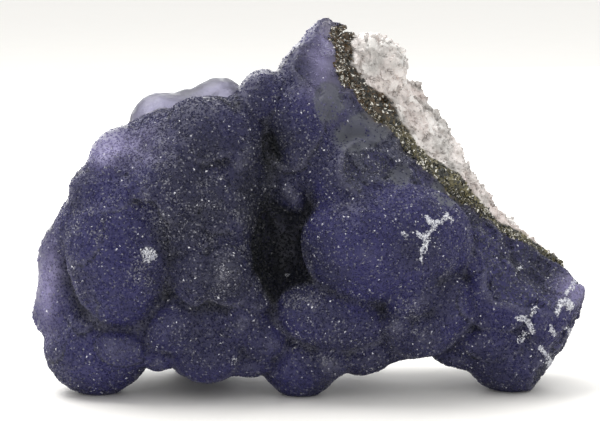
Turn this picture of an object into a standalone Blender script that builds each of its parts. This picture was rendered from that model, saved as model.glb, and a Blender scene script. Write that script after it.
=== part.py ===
"""A hand specimen of botryoidal fluorite on a quartz matrix, standing on its own lobes.

Two solids: the fluorite crust, a mass of overlapping round lobes with a broken face at the upper right
and a broken right tip, and the quartz that it grew on, which shows on the break and over the back.
Lengths are in millimetres until an object is made, and then in metres. +X is to the right, +Y to the
back and +Z up. The origin is on the surface that the specimen stands on, under the middle of its box.
"""

import math
import random

import bmesh
import bpy
from mathutils import Matrix, Vector, noise

MM = 0.001

# The middle of the specimen's box, in the lists' own coordinates.
MIDDLE = Vector((0.8, -1.7, 0.0))

# Lobes that make the mass, as (x, y, z, radius).
MASS_LOBES = [
    (-27, -1, 31, 19), (-22, 1, 40, 14), (-36, 0, 20, 13), (-10, 1, 32, 13.6), (-3, 2, 44, 12),
    (14, -3, 30, 17), (6, 2, 52, 12), (2, -2, 18, 13), (36, 0, 22, 11), (-14, 2, 18, 14),
    (22, 0, 20, 12), (25, 2, 36, 13), (-5, -3, 29, 9), (30, -7, 21, 7.6), (-44, -9, 33, 7),
    (-39.4, -9, 40, 9), (-35.8, -4, 46.0, 8.4), (-29, -3, 48.6, 9), (-20, -6, 50.0, 9.6),
    (-25.4, -12, 43, 9), (-14, -9, 45, 9), (-14.6, -7, 53, 7.8), (-7, -3, 57.8, 8),
    (-13, -13, 36.4, 7.4), (-17, -15, 27, 9), (-21.5, -13.4, 33.4, 8.8), (-8, -6.5, 42, 8.5),
    (-20, -14, 38, 8), (-47.8, -4, 26, 7.2), (-47.6, -5, 16.6, 8), (-45.6, -1, 33.4, 6.2),
    (-40.8, -9, 8.2, 9.0), (-36, -15, 11.4, 6.6), (-29.6, -13, 11.4, 6.8), (-25, -16, 16, 7.4),
    (-19.6, -14, 10.4, 8), (-12, -16, 16.8, 6.6), (-7.4, -15, 12.6, 6), (-11, -12, 9.2, 6.8),
    (-3, -8.4, 43, 7.4), (-40, 8, 16, 9), (-45, 4, 24, 7.6), (-37, 10, 27, 9), (-31, 12, 38, 8.4),
    (-36, 6, 41, 7.6), (-24, 13, 46, 7.4), (-28, 15, 30, 7.6), (-33, 14, 19, 7.4), (-22, 12, 6.4, 7.4),
    (-33, 9, 9, 6.8), (-23, 16, 20, 7.8), (-16, 12, 38, 9), (-12, 13, 50, 7), (-4, 10, 58, 7),
    (-13, 15, 28, 7.4), (-12, 15, 13, 7.6), (-2, 14, 10.6, 6.6), (8, 12, 12, 6.8), (19, 10, 13.6, 7.2),
    (30, 9, 13.4, 7), (42, 8, 6.6, 7.4), (46, 5, 15, 7), (38, 9, 21, 6), (12, -9, 12.0, 9),
    (21, -8.4, 14.8, 9), (30, -8, 15.4, 8), (-46, -4, 29, 8), (-20, -12, 22, 9), (-28.5, -12.5, 38, 10),
    (-27, -12, 30.4, 9.2),
]
PEAK_LOBES = [
    (6.2, 5, 67.6, 8.6), (10.6, 8, 66.4, 8.0), (1.6, -0.4, 62.2, 9.0), (-1.2, -4.6, 54.2, 9.0),
    (0.8, -8, 46.6, 8.8), (11, 2, 57.6, 10.4), (17, 2, 48.6, 11.4), (27, 1, 40.6, 10.4),
    (36, 0, 32.4, 9.4), (44, -1, 26, 8), (37, -7, 22, 9), (35, -7, 11.4, 8.4), (29, -7, 11.8, 7),
    (44, -5, 17, 9.6), (51, -3, 21.4, 8), (42.4, -5, 7, 7.8), (50, -3, 13.2, 8.6),
]
CLEAR_LOBES = [(-29, 5, 52.4, 7.4), (-17.4, 6, 56.6, 6.2), (-23, 6, 54.4, 6)]

# Round lobes that stand out of the mass, as (x, y, z, half width, half depth, half height, tilt in degrees).
# The right ones stand proud of the fracture too.
LEFT_DOMES = [
    (-36.2, -13.8, 28.6, 11.0, 10.6, 15.0, -5), (-41.6, -8.0, 9.0, 10.6, 10.8, 9.5, 0),
    (-1.0, -10.0, 7.0, 8.0, 8.0, 7.6, 0), (41.8, -5.0, 7.0, 9.6, 9.4, 7.7, 0),
    (-19.6, -14.4, 9.4, 6.8, 7.2, 5.8, 0), (-22.0, 12.0, 6.8, 7.6, 7.6, 7.4, 0),
    (11.0, -8.6, 42.6, 11.0, 11.4, 8.6, 0), (22.0, -4.6, 39.6, 9.4, 10.0, 8.0, 0),
]
RIGHT_DOMES = [
    (12.0, -13.0, 30.8, 12.6, 12.6, 12.2, 0), (18.5, -11.6, 31.2, 11.6, 12.0, 11.4, 0),
    (24.0, -9.0, 31.0, 9.6, 9.6, 9.8, 0), (5.0, -14.0, 16.8, 11.4, 9.2, 6.8, 8),
    (4.6, -12.6, 8.4, 4.6, 7.4, 4.6, 0), (18.0, -15.6, 15.8, 2.9, 5.4, 2.9, 0),
    (23.0, -12.4, 13.8, 7.0, 7.8, 5.6, 5), (27.8, -11.2, 18.6, 5.8, 8.0, 6.8, 0),
    (20.6, -13.4, 20.8, 6.4, 8.0, 5.0, -20),
]

# Shallow lobes that lie on the mass, as the front shows them: x and z of the middle, half width, half
# height, tilt in degrees, the step at the edge and the rise of the middle above it.
SHALLOW_LOBES = [
    (-40.0, 41.8, 7.4, 4.4, -12, 0.5, 1.8), (-31.0, 44.8, 4.6, 5.4, 0, 0.6, 1.8),
    (-37.0, 48.8, 6.6, 5.0, -25, 0.3, 2.0), (-29.0, 52.2, 5.8, 4.6, -10, 0.2, 1.6),
    (-20.0, 53.6, 8.2, 6.6, 0, 0.6, 2.2), (-12.0, 51.8, 4.2, 6.6, 0, 0.2, 1.8),
    (-8.6, 60.2, 4.6, 5.4, 0, 0.4, 1.7), (-25.0, 43.6, 5.6, 8.2, 0, 0.3, 2.0),
    (-17.8, 41.2, 3.6, 7.6, -10, 0.3, 1.3), (-13.0, 38.2, 3.6, 5.4, 0, 0.0, 1.6),
    (-22.6, 34.2, 4.2, 5.2, 0, 0.2, 1.6), (-28.4, 25.6, 3.0, 4.2, 0, 0.2, 1.6),
    (-22.0, 25.2, 5.0, 5.8, 0, 0.5, 2.0), (-15.4, 25.6, 5.4, 6.8, 0, 0.5, 2.0),
    (-9.4, 21.6, 3.8, 3.8, 0, 0.2, 1.7), (-18.6, 16.8, 3.2, 3.0, 0, 0.1, 1.1),
    (-12.4, 16.8, 4.0, 4.2, 0, 0.1, 1.5), (-26.0, 14.8, 5.4, 5.0, 0, 0.1, 1.4),
    (-8.0, 11.8, 4.4, 3.8, 0, 0.1, 1.4), (-29.0, 7.6, 3.2, 3.0, 0, 0.0, 1.4),
    (-10.0, 6.4, 4.2, 3.2, 0, 0.0, 1.5), (-36.0, 10.8, 5.4, 3.6, 10, 0.4, 1.6),
    (-45.0, 20.8, 4.2, 7.8, -15, 0.6, 1.4), (-51.0, 24.6, 4.6, 9.0, 15, 0.6, 1.0),
    (-51.4, 14.2, 5.0, 8.0, 0, 0.6, 1.0), (-44.6, 34.6, 5.6, 8.0, 20, 0.6, 0.9),
    (-3.4, 37.8, 3.8, 6.2, 0, 0.0, 1.8), (11.4, 7.6, 6.2, 4.0, 0, 0.2, 1.7),
    (31.0, 26.8, 3.6, 3.6, 0, 0.2, 1.4), (38.0, 19.6, 8.0, 6.6, 0, 0.4, 1.8),
    (37.0, 10.8, 6.6, 3.8, 0, 0.3, 1.5), (49.0, 21.2, 5.8, 4.6, 10, 0.3, 1.5),
    (48.6, 14.2, 4.6, 5.4, 0, 0.1, 1.4), (39.0, 31.2, 7.6, 5.2, 35, 0.1, 1.4),
    (29.0, 6.2, 5.0, 3.0, 20, 0.1, 1.4), (-1.2, 57.0, 6.8, 13.0, 14, 0.4, 1.2),
]
OUTLINE_WAVE = 0.7
OUTLINE_WAVE_LENGTH = 5.0

RELIEF = 1.15
LEAST_RELIEF = 0.7

# The deep valley between the two domes, as (x, z, half width, half height, depth).
VALLEY = [(-4.6, 28.0, 4.6, 6.4, 3.6), (-7.0, 36.0, 4.2, 6.0, 1.8), (-6.0, 46.0, 3.4, 6.0, 1.2)]

# How far the mass is sunk below its lobes, to make room for the shallow ones. They fade out where the
# surface turns from facing the front, by the forward part of its normal.
SUNK = 1.5
FRONT_FADE = (-0.5, -0.1)

# The fracture across the upper right and the broken tip. The right dome stands proud of the fracture.
# The fracture is described along the quartz, across it towards the back, and out of it.
BREAK_NORMAL = Vector((0.62, -0.56, 0.55)).normalized()
BREAK_POINT = Vector((18.0, 0.3, 54.2))
BREAK_TWIST = 0.003
BREAK_HINGE = 14.0
CREST_BACK = 15.0
CREST_SKEW = 0.45
CREST_NEAREST = 1.0
CREST_FALL = 0.9
TURN_UP_FROM = 36.0
TURN_UP = 0.2
BREAK_ROUGHNESS = 1.4
TIP_NORMAL = Vector((0.86, -0.30, -0.41)).normalized()
TIP_POINT = Vector((57.0, -3.0, 20.0))
TIP_ROUGHNESS = 1.0

# The quartz: a blunt ellipsoid whose front is the wavy contact with the fluorite.
MATRIX_CENTRE = Vector((25.0, 13.6, 40.0))
MATRIX_LONG_AXIS = Vector((0.708, 0.10, -0.698)).normalized()
MATRIX_HALF_SIZES = (37.5, 14.6, 22.0)
MATRIX_BLUNTNESS = 0.8
CONTACT_WAVE = 1.1
CONTACT_WAVE_LENGTH = 6.0
CONTACT_GAP = 0.35

# A lump of the quartz that stands out at its upper end, as the round lobes are given.
QUARTZ_LUMP = (16.0, 8.0, 64.0, 4.8, 6.0, 6.4, 0)
BACK_POINT = Vector((20.0, 17.0, 40.0))
BACK_NORMAL = Vector((0.05, 1.0, 0.12)).normalized()
BACK_CROWN = 0.005
BACK_ROUGHNESS = 2.2

# Quartz crystals: six-sided prisms with a pointed end.
LARGE_CRYSTAL_COUNT = 18
LARGE_CRYSTAL_RADIUS = (1.3, 2.0)
SMALL_CRYSTAL_COUNT = 30
SMALL_CRYSTAL_RADIUS = (0.8, 1.3)
CRYSTAL_LEAN = 0.5
CRYSTAL_POINT = 0.7
CRYSTAL_SINK = 3.6
CRYSTAL_RISE = (0.2, 1.1)
CRYSTALS_ALONG = (-25, 45)
CRYSTALS_ACROSS = (-16, 22)
CRYSTAL_MARGIN = 3.5

# How much the mass is worn smooth: the share that each round takes, and the rounds.
WEAR = 0.5
MASS_WEAR_ROUNDS = 8
PEAK_WEAR_ROUNDS = 14
CLEAR_WEAR_ROUNDS = 4
CREASE_WEAR_ROUNDS = 1

# How finely the solids are faceted.
LOBE_CELL = 0.9
DOME_FINENESS = 4
LUMP_FINENESS = 3
FLUORITE_FACES = 6000
CUTTER_REACH = 65
CUTTER_DEPTH = 60
ROUGH_CELLS = 40
ROUGH_GRAIN = 7.0


def frame_on(point, along, normal):
    """The axes along, towards the back and out of a surface, standing on a point."""
    along = (along - normal * along.dot(normal)).normalized()
    return Matrix.Translation(point) @ Matrix((along, normal.cross(along), normal)).transposed().to_4x4()


BREAK_FRAME = frame_on(BREAK_POINT, MATRIX_LONG_AXIS, BREAK_NORMAL)
TIP_FRAME = frame_on(TIP_POINT, Vector((0, 1, 0)), TIP_NORMAL)
BACK_FRAME = frame_on(BACK_POINT, Vector((1, 0, 0)), BACK_NORMAL)
TABLE_FRAME = frame_on(Vector(), Vector((1, 0, 0)), Vector((0, 0, -1)))


def material(name, colour, roughness):
    made = bpy.data.materials.new(name)
    made.use_nodes = True
    shader = made.node_tree.nodes["Principled BSDF"]
    shader.inputs["Base Color"].default_value = (*colour, 1)
    shader.inputs["Roughness"].default_value = roughness
    shader.inputs["Metallic"].default_value = 0
    return made


def collection(name):
    made = bpy.data.collections.new(name)
    bpy.context.scene.collection.children.link(made)
    return made


def new_object(name, shape, group, skin=None):
    """An object from a bmesh in millimetres."""
    mesh = bpy.data.meshes.new(name)
    shape.transform(Matrix.Scale(MM, 4) @ Matrix.Translation(-MIDDLE))
    shape.to_mesh(mesh)
    shape.free()
    made = bpy.data.objects.new(name, mesh)
    group.objects.link(made)
    if skin:
        mesh.materials.append(skin)
    return made


def as_cutter(made):
    made.hide_render = True
    made.display_type = "WIRE"
    return made


def combine(target, other, operation="DIFFERENCE"):
    boolean = target.modifiers.new(f"{operation} {other.name}".lower(), "BOOLEAN")
    boolean.operation = operation
    boolean.object = other
    return boolean


def one_skin(target):
    skinned = target.modifiers.new("one skin", "REMESH")
    skinned.mode = "VOXEL"
    skinned.voxel_size = LOBE_CELL * MM


def smoothly(value, low, high):
    """From 0 at low to 1 at high, with level ends."""
    share = min(max((value - low) / (high - low), 0.0), 1.0)
    return share * share * (3 - 2 * share)


def add_domes(shape, domes, fineness=DOME_FINENESS):
    """Adds an ellipsoid to a bmesh for each dome. A ball's radius stands for its three half sizes."""
    ball = bpy.data.meshes.new("ball")
    round_shape = bmesh.new()
    bmesh.ops.create_icosphere(round_shape, subdivisions=fineness, radius=1)
    round_shape.to_mesh(ball)
    round_shape.free()
    for x, y, z, wide, deep, high, tilt in domes:
        turn = Matrix.Rotation(math.radians(tilt), 4, "Y")
        place = Matrix.Translation((x, y, z)) @ turn @ Matrix.Diagonal((wide, deep, high, 1))
        ball.transform(place)
        shape.from_mesh(ball)
        ball.transform(place.inverted())
    bpy.data.meshes.remove(ball)


def quartz_lump(name, group, grow):
    """The lump of quartz as a cutter, with its surface moved outwards by grow."""
    x, y, z, wide, deep, high, tilt = QUARTZ_LUMP
    shape = bmesh.new()
    add_domes(shape, [(x, y, z, wide + grow, deep + grow, high + grow, tilt)], LUMP_FINENESS)
    return as_cutter(new_object(name, shape, group))


def worn_mass(name, lobes, group, rounds):
    """One closed skin round a group of balls, worn smooth."""
    shape = bmesh.new()
    add_domes(shape, [(x, y, z, radius, radius, radius, 0) for x, y, z, radius in lobes])
    made = as_cutter(new_object(name, shape, group))
    one_skin(made)
    worn = made.modifiers.new("worn smooth", "SMOOTH")
    worn.factor = WEAR
    worn.iterations = rounds
    return made


def front_relief(x, z):
    """What the shallow lobes add to the front at x and z, less the depth of the valley there."""
    spot = Vector((x, 0, z)) / OUTLINE_WAVE_LENGTH
    x += OUTLINE_WAVE * noise.noise(spot)
    z += OUTLINE_WAVE * noise.noise(spot + Vector((0, 9, 0)))
    relief = LEAST_RELIEF
    for middle_x, middle_z, wide, high, tilt, step, rise in SHALLOW_LOBES:
        turn = math.radians(tilt)
        across = ((x - middle_x) * math.cos(turn) - (z - middle_z) * math.sin(turn)) / wide
        up = ((x - middle_x) * math.sin(turn) + (z - middle_z) * math.cos(turn)) / high
        out = across * across + up * up
        if out < 1:
            relief = max(relief, RELIEF * (step + rise * math.sqrt(1 - out)))
    for middle_x, middle_z, wide, high, depth in VALLEY:
        relief -= depth * math.exp(-(((x - middle_x) / wide) ** 2) - ((z - middle_z) / high) ** 2)
    return relief


def add_worn_mass(shape, mass):
    """Adds a worn mass to a bmesh, sunk, and raised by the shallow lobes where it faces the front."""
    graph = bpy.context.evaluated_depsgraph_get()
    skin = bmesh.new()
    skin.from_mesh(mass.evaluated_get(graph).data)
    skin.normal_update()
    skin.transform(Matrix.Translation(MIDDLE) @ Matrix.Scale(1 / MM, 4))
    for vertex in skin.verts:
        facing = smoothly(-vertex.normal.y, *FRONT_FADE)
        move = front_relief(vertex.co.x, vertex.co.z) * facing - SUNK
        vertex.co += vertex.normal * move
    mesh = bpy.data.meshes.new("moved skin")
    skin.to_mesh(mesh)
    skin.free()
    shape.from_mesh(mesh)
    bpy.data.meshes.remove(mesh)


def thin_out(made, faces):
    """Fewer faces, kept closest where the creases are."""
    graph = bpy.context.evaluated_depsgraph_get()
    now = sum(len(p.vertices) - 2 for p in made.evaluated_get(graph).data.polygons)
    fewer = made.modifiers.new("fewer faces", "DECIMATE")
    fewer.ratio = faces / now


def flat_face(x, y):
    return 0.0


def broken_face(x, y):
    """The fracture's long shape: twisted, falling away past its crest and turned up at its right end."""
    twist = BREAK_TWIST * x * (BREAK_HINGE - y)
    past_crest = max(0.0, y - max(CREST_BACK - CREST_SKEW * x, CREST_NEAREST))
    return twist - CREST_FALL * past_crest + TURN_UP * max(0.0, x - TURN_UP_FROM)


def back_face(x, y):
    """The back of the quartz: highest in the middle and falling away to its rim."""
    return -BACK_CROWN * (x * x + y * y)


def rough_block(name, group, place, roughness, height=flat_face):
    """A cutter with a rough face across its frame's origin and its body above."""
    shape = bmesh.new()
    bmesh.ops.create_grid(shape, x_segments=ROUGH_CELLS, y_segments=ROUGH_CELLS, size=CUTTER_REACH)
    for vertex in shape.verts:
        spot = vertex.co / ROUGH_GRAIN
        rise = roughness * (noise.noise(spot) + 0.5 * noise.noise(spot * 2.7))
        vertex.co.z = rise + height(vertex.co.x, vertex.co.y)
    raised = bmesh.ops.extrude_face_region(shape, geom=shape.faces[:])
    top = [v for v in raised["geom"] if isinstance(v, bmesh.types.BMVert)]
    for vertex in top:
        vertex.co.z = CUTTER_DEPTH
    bmesh.ops.recalc_face_normals(shape, faces=shape.faces)
    shape.transform(place)
    return as_cutter(new_object(name, shape, group))


def matrix_turn():
    """The quartz ellipsoid's own axes: along the break, through the slab and across both."""
    along = MATRIX_LONG_AXIS
    through = (Vector((0, 1, 0)) - along * along.y).normalized()
    across = along.cross(through)
    return Matrix((along, through, across)).transposed()


def matrix_shape(shrink):
    """The quartz ellipsoid with its wavy surface, moved inwards by shrink."""
    shape = bmesh.new()
    bmesh.ops.create_icosphere(shape, subdivisions=4, radius=1)
    turn = matrix_turn()
    for vertex in shape.verts:
        unit = Vector([math.copysign(abs(c) ** MATRIX_BLUNTNESS, c) for c in vertex.co])
        outward = Vector([u / s for u, s in zip(unit, MATRIX_HALF_SIZES)]).normalized()
        spot = Vector([u * s for u, s in zip(unit, MATRIX_HALF_SIZES)])
        wave = CONTACT_WAVE * noise.noise(spot / CONTACT_WAVE_LENGTH)
        vertex.co = MATRIX_CENTRE + turn @ (spot + outward * (wave - shrink))
    return shape


def crystal(shape, foot, direction, radius, length, spin):
    """One six-sided prism with a pyramid on it, standing on foot."""
    turn = direction.to_track_quat("Z", "Y").to_matrix().to_4x4() @ Matrix.Rotation(spin, 4, "Z")
    prism = bmesh.ops.create_cone(
        shape,
        cap_ends=True,
        segments=6,
        radius1=radius,
        radius2=radius,
        depth=length,
        matrix=Matrix.Translation(foot) @ turn @ Matrix.Translation((0, 0, length / 2)),
    )
    ends = [v for v in prism["verts"] if (v.co - foot).dot(direction) > length * 0.9]
    top = next(f for f in shape.faces if set(f.verts) == set(ends))
    bmesh.ops.poke(shape, faces=[top], offset=radius * CRYSTAL_POINT)


def above(spot, place, face):
    """Whether a point stands clear of a face."""
    local = place.inverted() @ spot
    return local.z > face(local.x, local.y) + 0.1


def crystals(name, group, count, radii, seed):
    """Crystals over the open faces of the quartz: on the break, and over the back."""
    draw = random.Random(seed)
    turn = matrix_turn()
    shape = bmesh.new()
    made = 0
    while made < count:
        x = draw.uniform(*CRYSTALS_ALONG)
        y = draw.uniform(*CRYSTALS_ACROSS)
        place, face = (BREAK_FRAME, broken_face) if made % 3 else (BACK_FRAME, back_face)
        height = face(x, y)
        slope = (face(x + 0.1, y) - height, face(x, y + 0.1) - height)
        spot = place @ Vector((x, y, height))
        normal = place.to_3x3() @ Vector((-slope[0], -slope[1], 0.1)).normalized()
        local = turn.transposed() @ (spot - MATRIX_CENTRE)
        inside = sum((c / (s - CRYSTAL_MARGIN)) ** 2 for c, s in zip(local, MATRIX_HALF_SIZES))
        if inside > 1 or above(spot, BREAK_FRAME, broken_face) or above(spot, BACK_FRAME, back_face):
            continue
        lean = Vector([draw.uniform(-CRYSTAL_LEAN, CRYSTAL_LEAN) for _ in range(3)])
        direction = (normal + lean).normalized()
        radius = draw.uniform(*radii)
        rise = draw.uniform(*CRYSTAL_RISE)
        foot = spot - direction * CRYSTAL_SINK
        crystal(shape, foot, direction, radius, CRYSTAL_SINK + rise, draw.uniform(0, math.tau))
        made += 1
    return as_cutter(new_object(name, shape, group))


def build():
    for leftover in list(bpy.data.objects):
        bpy.data.objects.remove(leftover)
    parts = collection("fluorite specimen")
    tools = collection("cutters")
    violet = material("blue-violet fluorite", (0.075, 0.07, 0.21), 0.5)
    white = material("white quartz", (0.62, 0.59, 0.55), 0.45)

    breaker = rough_block("upper right break", tools, BREAK_FRAME, BREAK_ROUGHNESS, broken_face)
    tip = rough_block("broken tip", tools, TIP_FRAME, TIP_ROUGHNESS)
    table = rough_block("table", tools, TABLE_FRAME, 0)
    behind = rough_block("back limit", tools, BACK_FRAME, BACK_ROUGHNESS, back_face)
    hollow = as_cutter(new_object("matrix hollow", matrix_shape(0), tools))
    gems = crystals("quartz crystals", tools, LARGE_CRYSTAL_COUNT, LARGE_CRYSTAL_RADIUS, 7)
    small_gems = crystals("small quartz crystals", tools, SMALL_CRYSTAL_COUNT, SMALL_CRYSTAL_RADIUS, 8)
    grown_together = combine(gems, small_gems, "UNION")
    grown_together.use_self = True
    proud_shape = bmesh.new()
    add_domes(proud_shape, RIGHT_DOMES)
    proud = as_cutter(new_object("right domes", proud_shape, tools))
    one_skin(proud)

    crust = bmesh.new()
    add_domes(crust, LEFT_DOMES)
    for name, lobes, rounds in (
        ("mass", MASS_LOBES, MASS_WEAR_ROUNDS),
        ("peak", PEAK_LOBES, PEAK_WEAR_ROUNDS),
        ("clear lobes", CLEAR_LOBES, CLEAR_WEAR_ROUNDS),
    ):
        add_worn_mass(crust, worn_mass(name, lobes, tools, rounds))
    fluorite = new_object("botryoidal_fluorite", crust, parts, violet)
    one_skin(fluorite)
    for cutter in (breaker, tip):
        combine(fluorite, cutter)
    combine(fluorite, proud, "UNION")
    one_skin(fluorite)
    worn = fluorite.modifiers.new("worn creases", "SMOOTH")
    worn.factor = WEAR
    worn.iterations = CREASE_WEAR_ROUNDS
    thin_out(fluorite, FLUORITE_FACES)
    for cutter in (hollow, quartz_lump("lump hollow", tools, CONTACT_GAP), table):
        combine(fluorite, cutter)

    quartz = new_object("quartz_matrix", matrix_shape(CONTACT_GAP), parts, white)
    for cutter in (breaker, behind, table):
        combine(quartz, cutter)
    for grown in (quartz_lump("lump", tools, 0), gems):
        combine(quartz, grown, "UNION")


build()
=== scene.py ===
"""The looks of a botryoidal fluorite specimen and of the quartz that it grew on, as a Blender add-on.

Shapes are worked out in millimetres, in the maker's own coordinates, and put into the meshes in metres.
The fluorite and the quartz are each a distance worked out on a lattice of points, negative inside the
stone, and the skin is laid where that distance is nought. Relief, crystals and grains then grow on the
skins. What differs from place to place, such as dust or a bruise, is a number kept at each point of a
skin, which its material reads by name.
"""

import itertools
import math

import bpy
import numpy as np
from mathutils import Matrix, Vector


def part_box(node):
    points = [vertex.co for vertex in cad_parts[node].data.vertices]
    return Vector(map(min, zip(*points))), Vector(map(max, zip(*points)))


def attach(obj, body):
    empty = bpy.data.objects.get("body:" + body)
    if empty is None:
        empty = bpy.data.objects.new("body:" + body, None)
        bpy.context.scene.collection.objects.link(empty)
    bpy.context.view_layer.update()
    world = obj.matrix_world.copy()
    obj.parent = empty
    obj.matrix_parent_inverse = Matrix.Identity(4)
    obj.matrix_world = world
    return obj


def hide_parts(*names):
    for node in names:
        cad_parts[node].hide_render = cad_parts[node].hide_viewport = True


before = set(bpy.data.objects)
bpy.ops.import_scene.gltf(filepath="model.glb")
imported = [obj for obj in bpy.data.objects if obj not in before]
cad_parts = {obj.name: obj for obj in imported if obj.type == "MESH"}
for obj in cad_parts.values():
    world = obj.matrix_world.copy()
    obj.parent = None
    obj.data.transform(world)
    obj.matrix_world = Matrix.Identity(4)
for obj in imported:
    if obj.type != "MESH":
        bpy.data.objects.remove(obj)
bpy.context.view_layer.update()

bl_info = {
    "name": "Botryoidal Fluorite",
    "version": (1, 0, 0),
    "blender": (4, 5, 0),
    "location": "View3D > Sidebar > Fluorite",
    "description": "Makes a blue-violet botryoidal fluorite specimen on its quartz, and its studio",
    "category": "Add Mesh",
}

MM = 0.001

# The middle of the specimen's box in the maker's coordinates: +X right, +Y back, +Z up.
MIDDLE = np.array((0.8, -1.7, 0.0))

# Lobes that make the mass, as (x, y, z, radius).
MASS_LOBES = [
    (-27, -1, 31, 19), (-22, 1, 40, 14), (-36, 0, 20, 13), (-10, 1, 32, 13.6), (-3, 2, 44, 12),
    (14, -3, 30, 17), (6, 2, 52, 12), (2, -2, 18, 13), (36, 0, 22, 11), (-14, 2, 18, 14),
    (22, 0, 20, 12), (25, 2, 36, 13), (-5, -3, 29, 9), (30, -7, 21, 7.6), (-44, -9, 33, 7),
    (-39.4, -9, 40, 9), (-35.8, -4, 46.0, 8.4), (-29, -3, 48.6, 9), (-20, -6, 50.0, 9.6),
    (-25.4, -12, 43, 9), (-14, -9, 45, 9), (-14.6, -7, 53, 7.8), (-7, -3, 57.8, 8),
    (-13, -13, 36.4, 7.4), (-17, -15, 27, 9), (-21.5, -13.4, 33.4, 8.8), (-8, -6.5, 42, 8.5),
    (-20, -14, 38, 8), (-47.8, -4, 26, 7.2), (-47.6, -5, 16.6, 8), (-45.6, -1, 33.4, 6.2),
    (-40.8, -9, 8.2, 9.0), (-36, -15, 11.4, 6.6), (-29.6, -13, 11.4, 6.8), (-25, -16, 16, 7.4),
    (-19.6, -14, 10.4, 8), (-12, -16, 16.8, 6.6), (-7.4, -15, 12.6, 6), (-11, -12, 9.2, 6.8),
    (-3, -8.4, 43, 7.4), (-40, 8, 16, 9), (-45, 4, 24, 7.6), (-37, 10, 27, 9), (-31, 12, 38, 8.4),
    (-36, 6, 41, 7.6), (-24, 13, 46, 7.4), (-28, 15, 30, 7.6), (-33, 14, 19, 7.4), (-22, 12, 6.4, 7.4),
    (-33, 9, 9, 6.8), (-23, 16, 20, 7.8), (-16, 12, 38, 9), (-12, 13, 50, 7), (-4, 10, 58, 7),
    (-13, 15, 28, 7.4), (-12, 15, 13, 7.6), (-2, 14, 10.6, 6.6), (8, 12, 12, 6.8), (19, 10, 13.6, 7.2),
    (30, 9, 13.4, 7), (42, 8, 6.6, 7.4), (46, 5, 15, 7), (38, 9, 21, 6), (12, -9, 12.0, 9),
    (21, -8.4, 14.8, 9), (30, -8, 15.4, 8), (-46, -4, 29, 8), (-20, -12, 22, 9), (-28.5, -12.5, 38, 10),
    (-27, -12, 30.4, 9.2),
]
PEAK_LOBES = [
    (6.2, 5, 67.6, 8.6), (10.6, 8, 66.4, 8.0), (1.6, -0.4, 62.2, 9.0), (-1.2, -4.6, 54.2, 9.0),
    (0.8, -8, 46.6, 8.8), (11, 2, 57.6, 10.4), (17, 2, 48.6, 11.4), (27, 1, 40.6, 10.4),
    (36, 0, 32.4, 9.4), (44, -1, 26, 8), (37, -7, 22, 9), (35, -7, 11.4, 8.4), (29, -7, 11.8, 7),
    (44, -5, 17, 9.6), (51, -3, 21.4, 8), (42.4, -5, 7, 7.8), (50, -3, 13.2, 8.6),
]
CLEAR_LOBES = [(-29, 5, 52.4, 7.4), (-17.4, 6, 56.6, 6.2), (-23, 6, 54.4, 6)]

# How far the wear of each of them reaches, and the share of the sharp shape that it leaves.
MASS_WEAR = (5.0, 0.2)
PEAK_WEAR = (6.0, 0.1)
CLEAR_WEAR = (3.0, 0.3)

# Round lobes that stand out of the mass, as (x, y, z, half width, half depth, half height, tilt in degrees).
# The right ones stand proud of the fracture too.
LEFT_DOMES = [
    (-36.2, -13.8, 28.6, 11.0, 10.6, 15.0, -5), (-41.6, -8.0, 9.0, 10.6, 10.8, 9.5, 0),
    (-1.0, -10.0, 7.0, 8.0, 8.0, 7.6, 0), (41.8, -5.0, 7.0, 9.6, 9.4, 7.7, 0),
    (-19.6, -14.4, 9.4, 6.8, 7.2, 5.8, 0), (-22.0, 12.0, 6.8, 7.6, 7.6, 7.4, 0),
    (11.0, -8.6, 42.6, 11.0, 11.4, 8.6, 0), (22.0, -4.6, 39.6, 9.4, 10.0, 8.0, 0),
]
RIGHT_DOMES = [
    (12.0, -13.0, 30.8, 12.6, 12.6, 12.2, 0), (18.5, -11.6, 31.2, 11.6, 12.0, 11.4, 0),
    (24.0, -9.0, 31.0, 9.6, 9.6, 9.8, 0), (5.0, -14.0, 16.8, 11.4, 9.2, 6.8, 8),
    (4.6, -12.6, 8.4, 4.6, 7.4, 4.6, 0), (18.0, -15.6, 15.8, 2.9, 5.4, 2.9, 0),
    (23.0, -12.4, 13.8, 7.0, 7.8, 5.6, 5), (27.8, -11.2, 18.6, 5.8, 8.0, 6.8, 0),
    (20.6, -13.4, 20.8, 6.4, 8.0, 5.0, -20),
]
LEFT_FILLET = 1.3
RIGHT_FILLET = 1.6

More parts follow.
